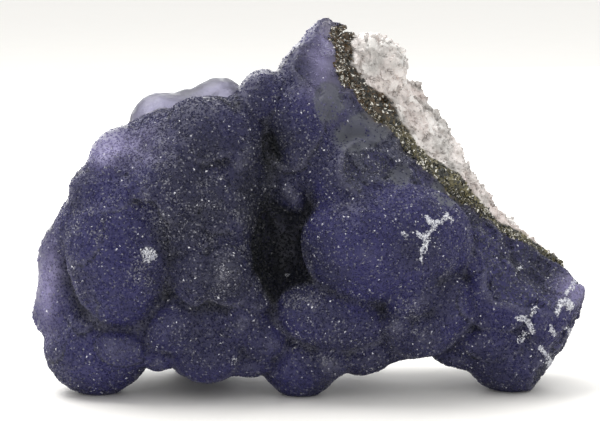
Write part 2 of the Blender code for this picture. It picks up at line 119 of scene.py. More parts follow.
# Shallow lobes that lie on the mass, as the front shows them: x and z of the middle, half width, half
# height, tilt in degrees, the step at the edge and the rise of the middle above it.
SHALLOW_LOBES = [
    (-40.0, 41.8, 7.4, 4.4, -12, 0.5, 1.8), (-31.0, 44.8, 4.6, 5.4, 0, 0.6, 1.8),
    (-37.0, 48.8, 6.6, 5.0, -25, 0.3, 2.0), (-29.0, 52.2, 5.8, 4.6, -10, 0.2, 1.6),
    (-20.0, 53.6, 8.2, 6.6, 0, 0.6, 2.2), (-12.0, 51.8, 4.2, 6.6, 0, 0.2, 1.8),
    (-8.6, 60.2, 4.6, 5.4, 0, 0.4, 1.7), (-25.0, 43.6, 5.6, 8.2, 0, 0.3, 2.0),
    (-17.8, 41.2, 3.6, 7.6, -10, 0.3, 1.3), (-13.0, 38.2, 3.6, 5.4, 0, 0.0, 1.6),
    (-22.6, 34.2, 4.2, 5.2, 0, 0.2, 1.6), (-28.4, 25.6, 3.0, 4.2, 0, 0.2, 1.6),
    (-22.0, 25.2, 5.0, 5.8, 0, 0.5, 2.0), (-15.4, 25.6, 5.4, 6.8, 0, 0.5, 2.0),
    (-9.4, 21.6, 3.8, 3.8, 0, 0.2, 1.7), (-18.6, 16.8, 3.2, 3.0, 0, 0.1, 1.1),
    (-12.4, 16.8, 4.0, 4.2, 0, 0.1, 1.5), (-26.0, 14.8, 5.4, 5.0, 0, 0.1, 1.4),
    (-8.0, 11.8, 4.4, 3.8, 0, 0.1, 1.4), (-29.0, 7.6, 3.2, 3.0, 0, 0.0, 1.4),
    (-10.0, 6.4, 4.2, 3.2, 0, 0.0, 1.5), (-36.0, 10.8, 5.4, 3.6, 10, 0.4, 1.6),
    (-45.0, 20.8, 4.2, 7.8, -15, 0.6, 1.4), (-51.0, 24.6, 4.6, 9.0, 15, 0.6, 1.0),
    (-51.4, 14.2, 5.0, 8.0, 0, 0.6, 1.0), (-44.6, 34.6, 5.6, 8.0, 20, 0.6, 0.9),
    (-3.4, 37.8, 3.8, 6.2, 0, 0.0, 1.8), (11.4, 7.6, 6.2, 4.0, 0, 0.2, 1.7),
    (31.0, 26.8, 3.6, 3.6, 0, 0.2, 1.4), (38.0, 19.6, 8.0, 6.6, 0, 0.4, 1.8),
    (37.0, 10.8, 6.6, 3.8, 0, 0.3, 1.5), (49.0, 21.2, 5.8, 4.6, 10, 0.3, 1.5),
    (48.6, 14.2, 4.6, 5.4, 0, 0.1, 1.4), (39.0, 31.2, 7.6, 5.2, 35, 0.1, 1.4),
    (29.0, 6.2, 5.0, 3.0, 20, 0.1, 1.4), (-1.2, 57.0, 6.8, 13.0, 14, 0.4, 1.2),
]
OUTLINE_WAVE = 0.7
OUTLINE_WAVE_LENGTH = 5.0

RELIEF = 1.15
LEAST_RELIEF = 0.7

# The deep valley between the two domes, as (x, z, half width, half height, depth).
VALLEY = [(-4.6, 28.0, 4.6, 6.4, 3.6), (-7.0, 36.0, 4.2, 6.0, 1.8), (-6.0, 46.0, 3.4, 6.0, 1.2)]

# How far the mass is sunk below its lobes, to make room for the shallow ones.
SUNK = 1.5

# The fracture across the upper right and the broken tip. The right dome stands proud of the fracture.
BREAK_NORMAL = (0.62, -0.56, 0.55)
BREAK_POINT = (18.0, 0.3, 54.2)
BREAK_TWIST = 0.003
BREAK_HINGE = 14.0
CREST_BACK = 15.0
CREST_SKEW = 0.45
CREST_NEAREST = 1.0
CREST_FALL = 0.9
TURN_UP_FROM = 36.0
TURN_UP = 0.2
BREAK_ROUGHNESS = 1.2
TIP_NORMAL = (0.86, -0.30, -0.41)
TIP_POINT = (57.0, -3.0, 20.0)
TIP_ROUGHNESS = 0.9
ROUGH_GRAIN = 7.0

# Seeds of the three faces' roughness.
BREAK_SEED = 41
TIP_SEED = 43
BACK_SEED = 47

# The quartz: a blunt ellipsoid whose front is the wavy contact with the fluorite.
MATRIX_CENTRE = (25.0, 13.6, 40.0)
MATRIX_LONG_AXIS = (0.708, 0.10, -0.698)
MATRIX_HALF_SIZES = np.array((37.5, 14.6, 22.0))
MATRIX_POWER = 2.5
CONTACT_WAVE = 0.9
CONTACT_WAVE_LENGTH = 6.0
CONTACT_GAP = 0.35

# The lumps of the quartz that stand out at its upper end, and how softly they join on.
QUARTZ_LUMPS = [(16.0, 8.0, 64.0, 4.8, 6.0, 6.4, 0), (13.0, 6.0, 67.4, 3.4, 4.4, 4.0, 0)]
LUMP_FILLET = 2.0
BACK_POINT = (20.0, 17.0, 40.0)
BACK_NORMAL = (0.05, 1.0, 0.12)
BACK_CROWN = 0.005
BACK_ROUGHNESS = 2.0

# What a facet's number is multiplied by for its slope along x, y and z.
LEANINGS = (57, 91, 133)

# How far round a point its stone is measured, to find creases, crevices and hollows.
CREASE_REACH = 1.7
CREVICE_REACH = 3.2
HOLLOW_REACH = 14.0

# The distance between the facets of the broken fluorite.
FACET_PITCH = 4.2

# How far from a lobe its distance is still worked out, and how far from a face its roughness is.
LOBE_REACH = 7.0
FACE_REACH = 5.0


def unit(vectors):
    """Vectors made one long."""
    vectors = np.asarray(vectors, float)
    return vectors / np.maximum(np.linalg.norm(vectors, axis=-1, keepdims=True), 1e-12)


def frame_on(point, along, normal):
    """A point, and the axes along, towards the back and out of a surface that stands on it."""
    normal = unit(normal)
    along = np.asarray(along, float)
    along = unit(along - normal * along.dot(normal))
    return np.asarray(point, float), np.array((along, np.cross(normal, along), normal))


BREAK_FRAME = frame_on(BREAK_POINT, MATRIX_LONG_AXIS, BREAK_NORMAL)
TIP_FRAME = frame_on(TIP_POINT, (0, 1, 0), TIP_NORMAL)
BACK_FRAME = frame_on(BACK_POINT, (1, 0, 0), BACK_NORMAL)


def smoothly(values, low, high):
    """From 0 at low to 1 at high, with level ends: 3t² - 2t³."""
    share = np.clip((values - low) / (high - low), 0, 1)
    return share * share * (3 - 2 * share)


def scramble(cells, seed):
    """An even spread of numbers from 0 to 1, one for each lattice cell: its three whole numbers, each
    multiplied by a large odd number and laid over the others, shifted and multiplied again."""
    x, y, z = (cells[..., i].astype(np.uint32) for i in range(3))
    mixed = x * np.uint32(0x9E3779B1) ^ y * np.uint32(0x85EBCA77) ^ z * np.uint32(0xC2B2AE3D)
    mixed = mixed ^ np.uint32(seed * 668265263 & 0xFFFFFFFF)
    for shift, factor in ((15, 0x2C1B3C6D), (12, 0x297A2D39)):
        mixed = (mixed ^ (mixed >> np.uint32(shift))) * np.uint32(factor)
    return (mixed ^ (mixed >> np.uint32(15))) / 2.0 ** 32


def smooth_noise(spots, pitch, seed):
    """Smooth noise from -1 to 1: a random number at each corner of a lattice, blended across each cell
    with 3t² - 2t³ along each axis."""
    scaled = np.asarray(spots, float) / pitch
    cell = np.floor(scaled).astype(np.int64)
    share = scaled - cell
    share = share * share * (3 - 2 * share)
    total = np.zeros(scaled.shape[:-1])
    for corner in itertools.product((0, 1), repeat=3):
        weight = np.prod(np.where(np.array(corner) == 1, share, 1 - share), axis=-1)
        total += weight * scramble(cell + np.array(corner), seed)
    return 2 * total - 1


def nearest_seed(spots, pitch, seed):
    """Each lattice cell holds one seed at a random place. For each spot: how far its nearest seed is, in
    pitches, that seed's own random number, and the way from the seed to the spot."""
    scaled = np.asarray(spots, float) / pitch
    cell = np.floor(scaled).astype(np.int64)
    nearest = np.full(len(scaled), 9.0)
    number = np.zeros(len(scaled))
    way = np.zeros_like(scaled)
    for step in itertools.product((-1, 0, 1), repeat=3):
        there = cell + np.array(step)
        place = there + np.stack([scramble(there, seed + k) for k in range(3)], -1)
        offset = scaled - place
        distance = np.linalg.norm(offset, axis=-1)
        closer = distance < nearest
        nearest[closer] = distance[closer]
        number[closer] = scramble(there[closer], seed + 3)
        way[closer] = offset[closer]
    return nearest, number, way * pitch


def leaning(number, way):
    """How high a tilted facet stands at each spot: the way from its seed, measured along a slope whose x, y
    and z are sines of the seed's number times LEANINGS."""
    return (np.stack([np.sin(number * turns) for turns in LEANINGS], -1) * way).sum(-1)


def front_relief(x, z):
    """What the shallow lobes add to the front at each x and z: the highest of them there, each RELIEF times
    its step plus rise · √(1 - r²), where r is 1 at its edge, less the valley's depth · e^(-r²). Also how
    near the edge of the highest lobe a place is, from 0 to 1, and how far that edge faces down."""
    flat = np.stack([x, 0 * x, z], -1)
    x = x + OUTLINE_WAVE * smooth_noise(flat, OUTLINE_WAVE_LENGTH, 81)
    z = z + OUTLINE_WAVE * smooth_noise(flat, OUTLINE_WAVE_LENGTH, 82)
    relief, edge, down = np.full_like(x, LEAST_RELIEF), np.zeros_like(x), np.zeros_like(x)
    for middle_x, middle_z, wide, high, tilt, step, rise in SHALLOW_LOBES:
        turn = math.radians(tilt)
        across = ((x - middle_x) * math.cos(turn) - (z - middle_z) * math.sin(turn)) / wide
        up = ((x - middle_x) * math.sin(turn) + (z - middle_z) * math.cos(turn)) / high
        out = np.hypot(across, up)
        height = np.where(out < 1, RELIEF * (step + rise * np.sqrt(np.maximum(1 - out * out, 0))), 0)
        wins = height > relief
        relief = np.where(wins, height, relief)
        edge = np.where(wins, out, edge)
        down = np.where(wins, -up / np.maximum(out, 0.01), down)
    for middle_x, middle_z, wide, high, depth in VALLEY:
        relief = relief - depth * np.exp(-((x - middle_x) / wide) ** 2 - ((z - middle_z) / high) ** 2)
    return relief, edge, down


def dome_lip_light(points):
    """How near a place on a dome is to the dome's lower edge as the front shows it, from 0 to 1, where a line
    of painted light is laid.
    """
    lips = np.zeros(len(points))
    for x, y, z, wide, deep, high, tilt in LEFT_DOMES + RIGHT_DOMES:
        turn = math.radians(tilt)
        away = points - (x, y, z)
        across = (away[:, 0] * math.cos(turn) - away[:, 2] * math.sin(turn)) / wide
        up = (away[:, 0] * math.sin(turn) + away[:, 2] * math.cos(turn)) / high
        out = np.maximum(np.hypot(across, up), 0.01)
        off = np.abs(np.hypot(out, away[:, 1] / deep) - 1) * min(wide, deep, high)
        lip_light = (1 - smoothly(off, 0.3, 1.0)) * smoothly(out, 0.88, 0.97) * smoothly(-up / out, -0.2, 0.5)
        lips = np.maximum(lips, lip_light * smoothly(-away[:, 1], 0, 1))
    return lips


def joined(first, second, fillet):
    """The distance to two bodies as one: the smaller of theirs, less (f - |a - b|)² / 4f where the two
    differ by less than the fillet f, which fills the crease between them."""
    close = np.maximum(fillet - np.abs(first - second), 0)
    return np.minimum(first, second) - close * close / (4 * fillet)


class Lattice:
    """Evenly spaced points that fill a box, in millimetres, and how far beyond the box each of them is."""

    def __init__(self, low, high, cell):
        self.cell = cell
        self.axes = [np.arange(a - 3 * cell, b + 4 * cell, cell) for a, b in zip(low, high)]
        self.low = np.array([axis[0] for axis in self.axes])
        self.points = np.stack(np.meshgrid(*self.axes, indexing="ij"), -1).astype(np.float32)
        self.beyond = np.maximum(low - self.points, self.points - high).max(-1)

    def near(self, centre, reach):
        """The lattice's part near a point, and how far each of its places is from it along x, y and z."""
        spans = tuple(slice(*np.searchsorted(a, (c - reach, c + reach))) for a, c in zip(self.axes, centre))
        x, y, z = (axis[span] - c for axis, span, c in zip(self.axes, spans, centre))
        return spans, x[:, None, None], y[:, None], z

    def lobes(self, lobes):
        """The distance to a mass of balls: for each point the least of the distances to their centres,
        each less its ball's radius, as far as LOBE_REACH."""
        distance = np.full(self.points.shape[:3], LOBE_REACH, np.float32)
        for *centre, radius in lobes:
            spans, x, y, z = self.near(centre, radius + LOBE_REACH)
            distance[spans] = np.minimum(distance[spans], np.sqrt(x * x + y * y + z * z) - radius)
        return distance

    def domes(self, domes, fillet):
        """The distance to a mass of ellipsoids, as far as LOBE_REACH: for each of them (r - 1) · r / |g|,
        where r = |(x/a, y/b, z/c)| and g = (x/a², y/b², z/c²), with x and z turned by its tilt. The
        creases between them are filled by the fillet."""
        distance = np.full(self.points.shape[:3], LOBE_REACH, np.float32)
        for *centre, wide, deep, high, tilt in domes:
            spans, x, y, z = self.near(centre, max(wide, deep, high) + LOBE_REACH)
            turn = math.radians(tilt)
            across = (x * math.cos(turn) - z * math.sin(turn)) / wide
            up = (x * math.sin(turn) + z * math.cos(turn)) / high
            out = np.sqrt(across ** 2 + (y / deep) ** 2 + up ** 2)
            slope = np.sqrt((across / wide) ** 2 + (y / deep ** 2) ** 2 + (up / high) ** 2)
            away = (out - 1) * out / np.maximum(slope, 1e-6)
            distance[spans] = joined(distance[spans], away, fillet)
        return distance

    def above(self, place, face, roughness, seed):
        """The height above a rough face: the height above its frame's plane, less the face's own shape
        and two layers of smooth noise."""
        x, y, height = np.moveaxis(in_frame(self.points, place), -1, 0)
        height = height - face(x, y)
        near = np.abs(height) < FACE_REACH
        flat = np.stack([x[near], y[near], 0 * x[near]], -1)
        rough = smooth_noise(flat, ROUGH_GRAIN, seed) + 0.5 * smooth_noise(flat, ROUGH_GRAIN / 2.7, seed + 1)
        height[near] -= roughness * rough
        return height

    def matrix(self):
        """The distance to the quartz ellipsoid: ((|x/a|^p + |y/b|^p + |z/c|^p)^(1/p) - 1), divided by the
        length of its gradient, less a smooth wave near the surface."""
        local = in_frame(self.points, (np.array(MATRIX_CENTRE), matrix_axes()))
        share = np.maximum(np.abs(local / MATRIX_HALF_SIZES), 1e-6)
        reach = np.maximum((share ** MATRIX_POWER).sum(-1) ** (1 / MATRIX_POWER), 1e-3)
        slope = (share / reach[..., None]) ** (MATRIX_POWER - 1) / MATRIX_HALF_SIZES
        distance = (reach - 1) / np.linalg.norm(slope, axis=-1)
        near = np.abs(distance) < FACE_REACH
        distance[near] -= CONTACT_WAVE * smooth_noise(local[near], CONTACT_WAVE_LENGTH, 5)
        return distance

    def read(self, values, spots):
        """Values on the lattice, read at spots between its points along straight lines."""
        scaled = (spots - self.low) / self.cell
        top = np.array(values.shape) - 2
        cell = np.clip(np.floor(scaled).astype(np.int64), 0, top)
        share = scaled - cell
        total = np.zeros(len(spots))
        for corner in itertools.product((0, 1), repeat=3):
            weight = np.prod(np.where(np.array(corner) == 1, share, 1 - share), axis=-1)
            total += weight * values[tuple((cell + np.array(corner)).T)]
        return total

    def averaged(self, values, reach):
        """The mean of values in a box round each point, taken twice, so that it reaches as far as reach."""
        half = max(1, round(reach / self.cell / 2))
        for axis in (0, 1, 2, 0, 1, 2):
            ends = np.arange(values.shape[axis])
            padded = np.pad(values, [(half + 1, half) if a == axis else (0, 0) for a in range(3)], "edge")
            total = np.cumsum(padded, axis)
            values = (np.take(total, ends + 2 * half + 1, axis) - np.take(total, ends, axis)) / (2 * half + 1)
        return values

    def with_front_relief(self, distance):
        """A distance less what the shallow lobes add, where its surface faces the front."""
        x, z = np.meshgrid(self.axes[0], self.axes[2], indexing="ij")
        facing = smoothly(-np.gradient(distance, self.cell, axis=1), -0.5, -0.1)
        return distance - front_relief(x, z)[0][:, None, :] * facing

    def overgrown(self, distance, reach, kept):
        """A distance with its creases filled and its humps worn down: its mean as far as reach, with a
        share of the sharp one kept."""
        return (1 - kept) * self.averaged(distance, reach) + kept * distance

    def fullness(self, distance, reach):
        """The share of stone round each point, as far as reach."""
        return self.averaged((distance < 0).astype(float), reach)

    def skin(self, distance):
        """The closed skin where a distance on the lattice is nought. A cell that the skin crosses has one
        point, the middle of where the cell's edges are crossed, and each crossed edge has one
        four-sided face through the points of the four cells round it, turned to face out."""
        cells = tuple(n - 1 for n in distance.shape)
        place = np.zeros(cells + (3,))
        count = np.zeros(cells)
        crossings = []
        for axis in range(3):
            low = np.delete(distance, -1, axis)
            high = np.delete(distance, 0, axis)
            crossed = (low < 0) != (high < 0)
            share = np.where(crossed, low / np.where(crossed, low - high, 1), 0)
            sides = [a for a in range(3) if a != axis]
            for steps in itertools.product((0, 1), repeat=2):
                pick = [slice(None)] * 3
                for side, step in zip(sides, steps):
                    pick[side] = slice(step, distance.shape[side] - 1 + step)
                here = crossed[tuple(pick)]
                place[..., axis] += share[tuple(pick)]
                for side, step in zip(sides, steps):
                    place[..., side] += step * here
                count += here
            crossings.append((crossed, low < 0))
        used = count > 0
        number = np.full(cells, -1)
        number[used] = np.arange(used.sum())
        points = self.low + (np.argwhere(used) + place[used] / count[used][:, None]) * self.cell
        faces = []
        for axis, (crossed, from_inside) in enumerate(crossings):
            edges = np.argwhere(crossed)
            ring = np.zeros((4, 3), int)
            ring[:, (axis + 1) % 3] = (-1, 0, 0, -1)
            ring[:, (axis + 2) % 3] = (-1, -1, 0, 0)
            quads = np.stack([number[tuple((edges + offset).T)] for offset in ring], -1)
            inward = ~from_inside[crossed]
            quads[inward] = quads[inward][:, ::-1]
            faces.append(quads)
        return points, np.concatenate(faces)


def in_frame(spots, place):
    """Spots in a frame's own coordinates."""
    origin, axes = place
    return (spots - origin) @ axes.T


def matrix_axes():
    """The quartz ellipsoid's own axes: along the break, through the slab and across both."""
    along = unit(MATRIX_LONG_AXIS)
    through = unit(np.array((0, 1, 0)) - along * along[1])
    return np.array((along, through, np.cross(along, through)))


def broken_face(x, y):
    """The fracture's long shape: twisted, falling away past its crest and turned up at its right end."""
    past_crest = np.maximum(0, y - np.maximum(CREST_BACK - CREST_SKEW * x, CREST_NEAREST))
    turned_up = TURN_UP * np.maximum(0, x - TURN_UP_FROM)
    return BREAK_TWIST * x * (BREAK_HINGE - y) - CREST_FALL * past_crest + turned_up


def back_face(x, y):
    """The back of the quartz: highest in the middle and falling away to its rim."""
    return -BACK_CROWN * (x * x + y * y)


def flat_face(x, y):
    """A flat face."""
    return 0 * x


def normals_of(points, faces):
    """The way out at each point of a skin: the sum of its faces' normals, each the cross product of the
    face's diagonals, made one long."""
    normal = np.cross(points[faces[:, 2]] - points[faces[:, 0]], points[faces[:, 3]] - points[faces[:, 1]])
    corners = faces.ravel()
    spread = np.repeat(normal, 4, 0)
    return unit(np.stack([np.bincount(corners, spread[:, a], len(points)) for a in range(3)], -1))


def within_box(points, low, high):
    """Points held inside a box of the frame, given in metres."""
    inner = 0.02
    return np.clip(points, np.array(low) / MM + MIDDLE + inner, np.array(high) / MM + MIDDLE - inner)


def new_piece(name, points, faces, marks, finish, smooth):
    """A piece from points in millimetres and faces as rows of their numbers. Each mark is a number kept
    at every point under its name."""
    mesh = bpy.data.meshes.new(name)
    sides = faces.shape[1]
    mesh.vertices.add(len(points))
    mesh.vertices.foreach_set("co", ((points - MIDDLE) * MM).astype(np.float32).ravel())
    mesh.loops.add(faces.size)
    mesh.loops.foreach_set("vertex_index", faces.astype(np.int32).ravel())
    mesh.polygons.add(len(faces))
    mesh.polygons.foreach_set("loop_start", np.arange(0, faces.size, sides, dtype=np.int32))
    mesh.polygons.foreach_set("use_smooth", np.full(len(faces), smooth))
    mesh.update(calc_edges=True)
    for mark, values in marks.items():
        kept = mesh.attributes.new(mark, "FLOAT", "POINT")
        kept.data.foreach_set("value", np.asarray(values, np.float32))
    mesh.materials.append(finish)
    piece = bpy.data.objects.new(name, mesh)
    bpy.context.scene.collection.objects.link(piece)
    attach(piece, "root")
    return piece


def read_skin(name, marks):
    """A piece's points in millimetres, its faces, the ways out and the marks asked for."""
    mesh = bpy.data.objects[name].data
    points = np.empty(len(mesh.vertices) * 3, np.float32)
    mesh.vertices.foreach_get("co", points)
    corners = np.empty(len(mesh.loops), np.int32)
    mesh.loops.foreach_get("vertex_index", corners)
    points = points.reshape(-1, 3) / MM + MIDDLE
    faces = corners.reshape(len(mesh.polygons), -1)
    found = {}
    for mark in marks:
        found[mark] = np.empty(len(points), np.float32)
        mesh.attributes[mark].data.foreach_get("value", found[mark])
    return points, faces, normals_of(points, faces), found


def scattered(points, faces, normals, weights, count, lean, draw):
    """Random spots on a skin: a triangle drawn by its area and weight, and an even spot on it. Gives the
    spots, the ways out there, each leant at random by about lean, and the triangles' corners with their
    shares for reading marks."""
    triangles = np.concatenate([faces[:, [0, 1, 2]], faces[:, [0, 2, 3]]])
    a, b, c = (points[triangles[:, k]] for k in range(3))
    area = np.linalg.norm(np.cross(b - a, c - a), axis=-1)
    chance = area * weights[triangles].mean(-1)
    picks = triangles[draw.choice(len(triangles), count, p=chance / chance.sum())]
    u, v = draw.random((2, count))
    folded = u + v > 1
    u, v = np.where(folded, 1 - u, u), np.where(folded, 1 - v, v)
    shares = np.stack([1 - u - v, u, v], -1)
    spots = (points[picks] * shares[..., None]).sum(1)
    ways = unit((normals[picks] * shares[..., None]).sum(1))
    return spots, unit(ways + draw.normal(0, lean, ways.shape)), picks, shares


def at_spots(values, picks, shares, corners):
    """A mark read at scattered spots, once for each corner of the small piece that grows there."""
    return np.repeat((values[picks] * shares).sum(1), corners)


def across_of(ways):
    """Two directions across each way, at right angles to it and to each other."""
    helper = np.where(np.abs(ways[:, 2:]) < 0.8, (0.0, 0.0, 1.0), (1.0, 0.0, 0.0))
    first = unit(np.cross(helper, ways))
    return first, np.cross(ways, first)


def cube_corners(spots, ways, edges, sink, draw):
    """Corners of small cubes on a surface. Each has its tip out along its way, at edge / √3, and three
    points on a ring of edge · √(2/3) round its foot, which is sunk by a share of the edge."""
    first, second = across_of(ways)
    edges = edges[:, None]
    spin = draw.uniform(0, math.tau, len(spots))[:, None]
    foot = spots - ways * edges * sink
    tip = foot + ways * edges / math.sqrt(3)
    ring = [
        foot + edges * math.sqrt(2 / 3) * (first * np.cos(spin + turn) + second * np.sin(spin + turn))
        for turn in (0, math.tau / 3, 2 * math.tau / 3)
    ]
    points = np.stack([tip, *ring], 1).reshape(-1, 3)
    sides = np.array([(0, 1, 2), (0, 2, 3), (0, 3, 1), (1, 3, 2)])
    faces = (np.arange(len(spots))[:, None, None] * 4 + sides).reshape(-1, 3)
    return points, faces


def quartz_points(spots, ways, radii, rises, sink, point, draw):
    """Six-sided crystals: a ring of six points below the surface, a ring of six at the shoulder, uneven
    by a tenth, and a tip above it by point times the radius."""
    first, second = across_of(ways)
    count = len(spots)
    spin = draw.uniform(0, math.tau, count)[:, None] + np.arange(6) * math.tau / 6
    uneven = draw.uniform(0.9, 1.1, (count, 6, 1))
    ring = first[:, None] * np.cos(spin)[..., None] + second[:, None] * np.sin(spin)[..., None]
    ring = ring * radii[:, None, None] * uneven
    foot = (spots - ways * sink)[:, None]
    shoulder_rise = rises[:, None, None] * draw.uniform(0.85, 1.15, (count, 6, 1))
    shoulder = spots[:, None] + ways[:, None] * shoulder_rise + ring
    tip = spots + ways * (rises + radii * point)[:, None]
    points = np.concatenate([foot + ring, shoulder, tip[:, None]], 1).reshape(-1, 3)
    faces = []
    for k in range(6):
        after = (k + 1) % 6
        faces += [(k, after, 6 + after), (k, 6 + after, 6 + k), (6 + k, 6 + after, 12)]
    faces += [(0, k + 1, k) for k in range(1, 5)]
    faces = (np.arange(count)[:, None, None] * 13 + np.array(faces)).reshape(-1, 3)
    return points, faces


class Reading:
    """A shader socket that takes part in arithmetic: an expression on it adds its Math nodes."""

    def __init__(self, finish, socket):
        self.finish = finish
        self.socket = socket

    def maths(self, operation, first, second):
        return self.finish.add("ShaderNodeMath", {"operation": operation}, {0: first, 1: second})

    def __add__(self, other):
        return self.maths("ADD", self, other)

    def __sub__(self, other):
        return self.maths("SUBTRACT", self, other)

    def __rsub__(self, other):
        return self.maths("SUBTRACT", other, self)

    def __mul__(self, other):
        return self.maths("MULTIPLY", self, other)

    __radd__ = __add__
    __rmul__ = __mul__

    def least(self, other):
        return self.maths("MINIMUM", self, other)

    def most(self, other):
        return self.maths("MAXIMUM", self, other)

    def between(self, low, high, bottom=0.0, top=1.0):
        """From bottom where the reading is low to top where it is high, with level ends."""
        sockets = {"Value": self, "From Min": low, "From Max": high, "To Min": bottom, "To Max": top}
        return self.finish.add("ShaderNodeMapRange", {"interpolation_type": "SMOOTHSTEP"}, sockets)


class Finish:
    """A material under construction."""

    def __init__(self, name):
        self.material = bpy.data.materials.new(name)
        self.material.use_nodes = True
        self.tree = self.material.node_tree
        self.tree.nodes.clear()

    def add(self, kind, settings=None, sockets=None, output=0):
        """Any node: its type, its settings, and the values or links of its sockets."""
        node = self.tree.nodes.new(kind)
        for setting, value in (settings or {}).items():
            setattr(node, setting, value)
        for socket, value in (sockets or {}).items():
            if isinstance(value, Reading):
                self.tree.links.new(value.socket, node.inputs[socket])
            else:
                node.inputs[socket].default_value = value
        return Reading(self, node.outputs[output])

    def place(self):
        """The object's own coordinates, in metres."""
        return self.add("ShaderNodeTexCoord", output="Object")

    def mark(self, name):
        """A number that the mesh keeps at each point under a name."""
        return self.add("ShaderNodeAttribute", {"attribute_name": name}, output="Fac")

    def marks(self, *names):
        return [self.mark(name) for name in names]

    def noise(self, place, size, detail=3.0, roughness=0.55):
        """Noise whose waves are about size long, in metres."""
        sockets = {"Vector": place, "Scale": 1 / size, "Detail": detail, "Roughness": roughness}
        return self.add("ShaderNodeTexNoise", {}, sockets)

    def blend(self, share, first, second):
        """The first colour where share is 0 and the second where it is 1."""
        sockets = {0: share, 6: first, 7: second}
        return self.add("ShaderNodeMix", {"data_type": "RGBA"}, sockets, output=2)

    def bump(self, height, depth):
        """Bumps as deep as depth, in metres, where height is 1."""
        return self.add("ShaderNodeBump", {}, {"Height": height, "Strength": 1.0, "Distance": depth})

    def shader(self, colour, roughness, values=None):
        """The main surface shader, with its colour, its roughness and the values of other sockets."""
        sockets = {"Base Color": colour, "Roughness": roughness, **(values or {})}
        return self.add("ShaderNodeBsdfPrincipled", {}, sockets)

    def finished(self, surface, volume=None):
        """The material, with its surface and what fills it."""
        node = self.tree.nodes.new("ShaderNodeOutputMaterial")
        self.tree.links.new(surface.socket, node.inputs["Surface"])
        if volume:
            self.tree.links.new(volume.socket, node.inputs["Volume"])
        return self.material


def rgba(colour):
    """A colour property with its alpha."""
    return (*colour, 1.0)


def length(name, description, default):
    """A length that the user may change, in metres."""
    return bpy.props.FloatProperty(
        name=name, description=description, default=default, unit="LENGTH", precision=5
    )


def colour(name, description, default):
    """A colour that the user may change."""
    return bpy.props.FloatVectorProperty(
        name=name, description=description, default=default, subtype="COLOR"
    )


class FluoriteLooks(bpy.types.PropertyGroup):
    """Sizes and colours of the fluorite."""

    cell: length("Skin Cell", "Distance between the skin's points", 0.00055)
    wart_height: length("Wart Height", "Height of the small swellings", 0.00026)
    wart_pitch: length("Wart Pitch", "Distance between the small swellings", 0.003)
    druse_edge: length("Druse Edge", "Edge of the small cubes", 0.0004)
    druse_count: bpy.props.IntProperty(
        name="Druse Count",
        description="Small cubes in each part",
        default=44000,
    )
    druse_parts: bpy.props.IntProperty(
        name="Druse Parts",
        description="Meshes that the cubes are shared by",
        default=3,
    )
    violet: colour("Violet", "Body colour where it is bright", (0.026, 0.0245, 0.098))
    indigo: colour("Indigo", "Body colour where it is dark", (0.0205, 0.0205, 0.063))
    slate: colour("Slate", "Body colour of the greyer lobes", (0.0145, 0.016, 0.0225))
    frost: colour("Frost", "Colour of dust and worn grains", (0.185, 0.185, 0.22))


class QuartzLooks(bpy.types.PropertyGroup):
    """Sizes and colours of the quartz."""

    cell: length("Skin Cell", "Distance between the skin's points", 0.00045)
    block_size: length("Block Size", "Width of the facets", 0.0022)
    crystal_count: bpy.props.IntProperty(
        name="Crystals",
        description="Crystals on the open faces",
        default=2600,
    )
    white: colour("White", "Sugary quartz", (0.74, 0.69, 0.67))
    grey: colour("Grey", "Clearer quartz", (0.42, 0.40, 0.385))


class StageLooks(bpy.types.PropertyGroup):
    """The studio."""

    floor: colour("Floor", "Colour of the floor", (0.86, 0.85, 0.83))
    lens: bpy.props.FloatProperty(
        name="Lens",
        description="Focal length in millimetres",
        default=135.0,
    )


# The view of the front: its middle, and how far away and how high it is seen from.
VIEW_MIDDLE = np.array((-1.0, -6.0, 36.5))
VIEW_DISTANCE = 450.0
VIEW_ELEVATION = math.radians(8)

# Oval patches that the front shows, as seen from there: x, z, half width and half height.
DUST_PATCHES = [
    (-29, 41.2, 3.6, 6.0), (-26, 36, 4, 4), (-18, 41.2, 2.4, 5.4), (-17.6, 26, 4.2, 6.8), (-13, 33, 3, 5),
    (-5, 18.8, 5.6, 4.0), (3, 8.2, 3.6, 3.4), (-33, 24, 3, 3), (-43, 34, 2.5, 4), (21, 16, 4, 3),
]
GREY_PATCHES = [(-23, 38, 9, 12), (-9, 40, 6, 15), (-15, 24, 8, 8)]
# Pale patches of painted light, on the tops and outer edges of the lobes.
PALE_LIGHT_PATCHES = [
    (-38, 49.5, 5, 3), (4.2, 67.6, 3.4, 5.4), (-52, 21, 2, 7), (5.4, 72, 4, 2), (54, 21.6, 2.4, 3),
]

# The shade in the valley, as its share, x, z, half width and half height.
SHADES = [(1.0, -4.2, 27.6, 4.6, 7.0), (0.7, -7, 35, 5.4, 8), (0.5, -10, 42, 6, 9), (0.5, -5.4, 48, 4, 7)]

# The round grainy spot: x, z and radius.
ROUND_SPOT = (-31.2, 27.6, 1.5)

# The seam's edges as the front shows them, from its lower end to its upper: height, and x towards the
# fluorite and towards the quartz.
SEAM_HEIGHTS = (28.6, 34.0, 39.4, 43.8, 47.6, 51.0, 55.0, 59.0, 62.0, 65.6, 69.6, 73.4)
SEAM_FLUORITE_SIDE = (46.8, 38.0, 33.2, 29.0, 22.6, 18.6, 15.6, 11.8, 8.6, 6.4, 7.0, 8.0)
SEAM_QUARTZ_SIDE = (48.2, 38.8, 34.0, 30.2, 25.2, 21.4, 20.0, 17.4, 12.4, 9.6, 9.8, 10.2)

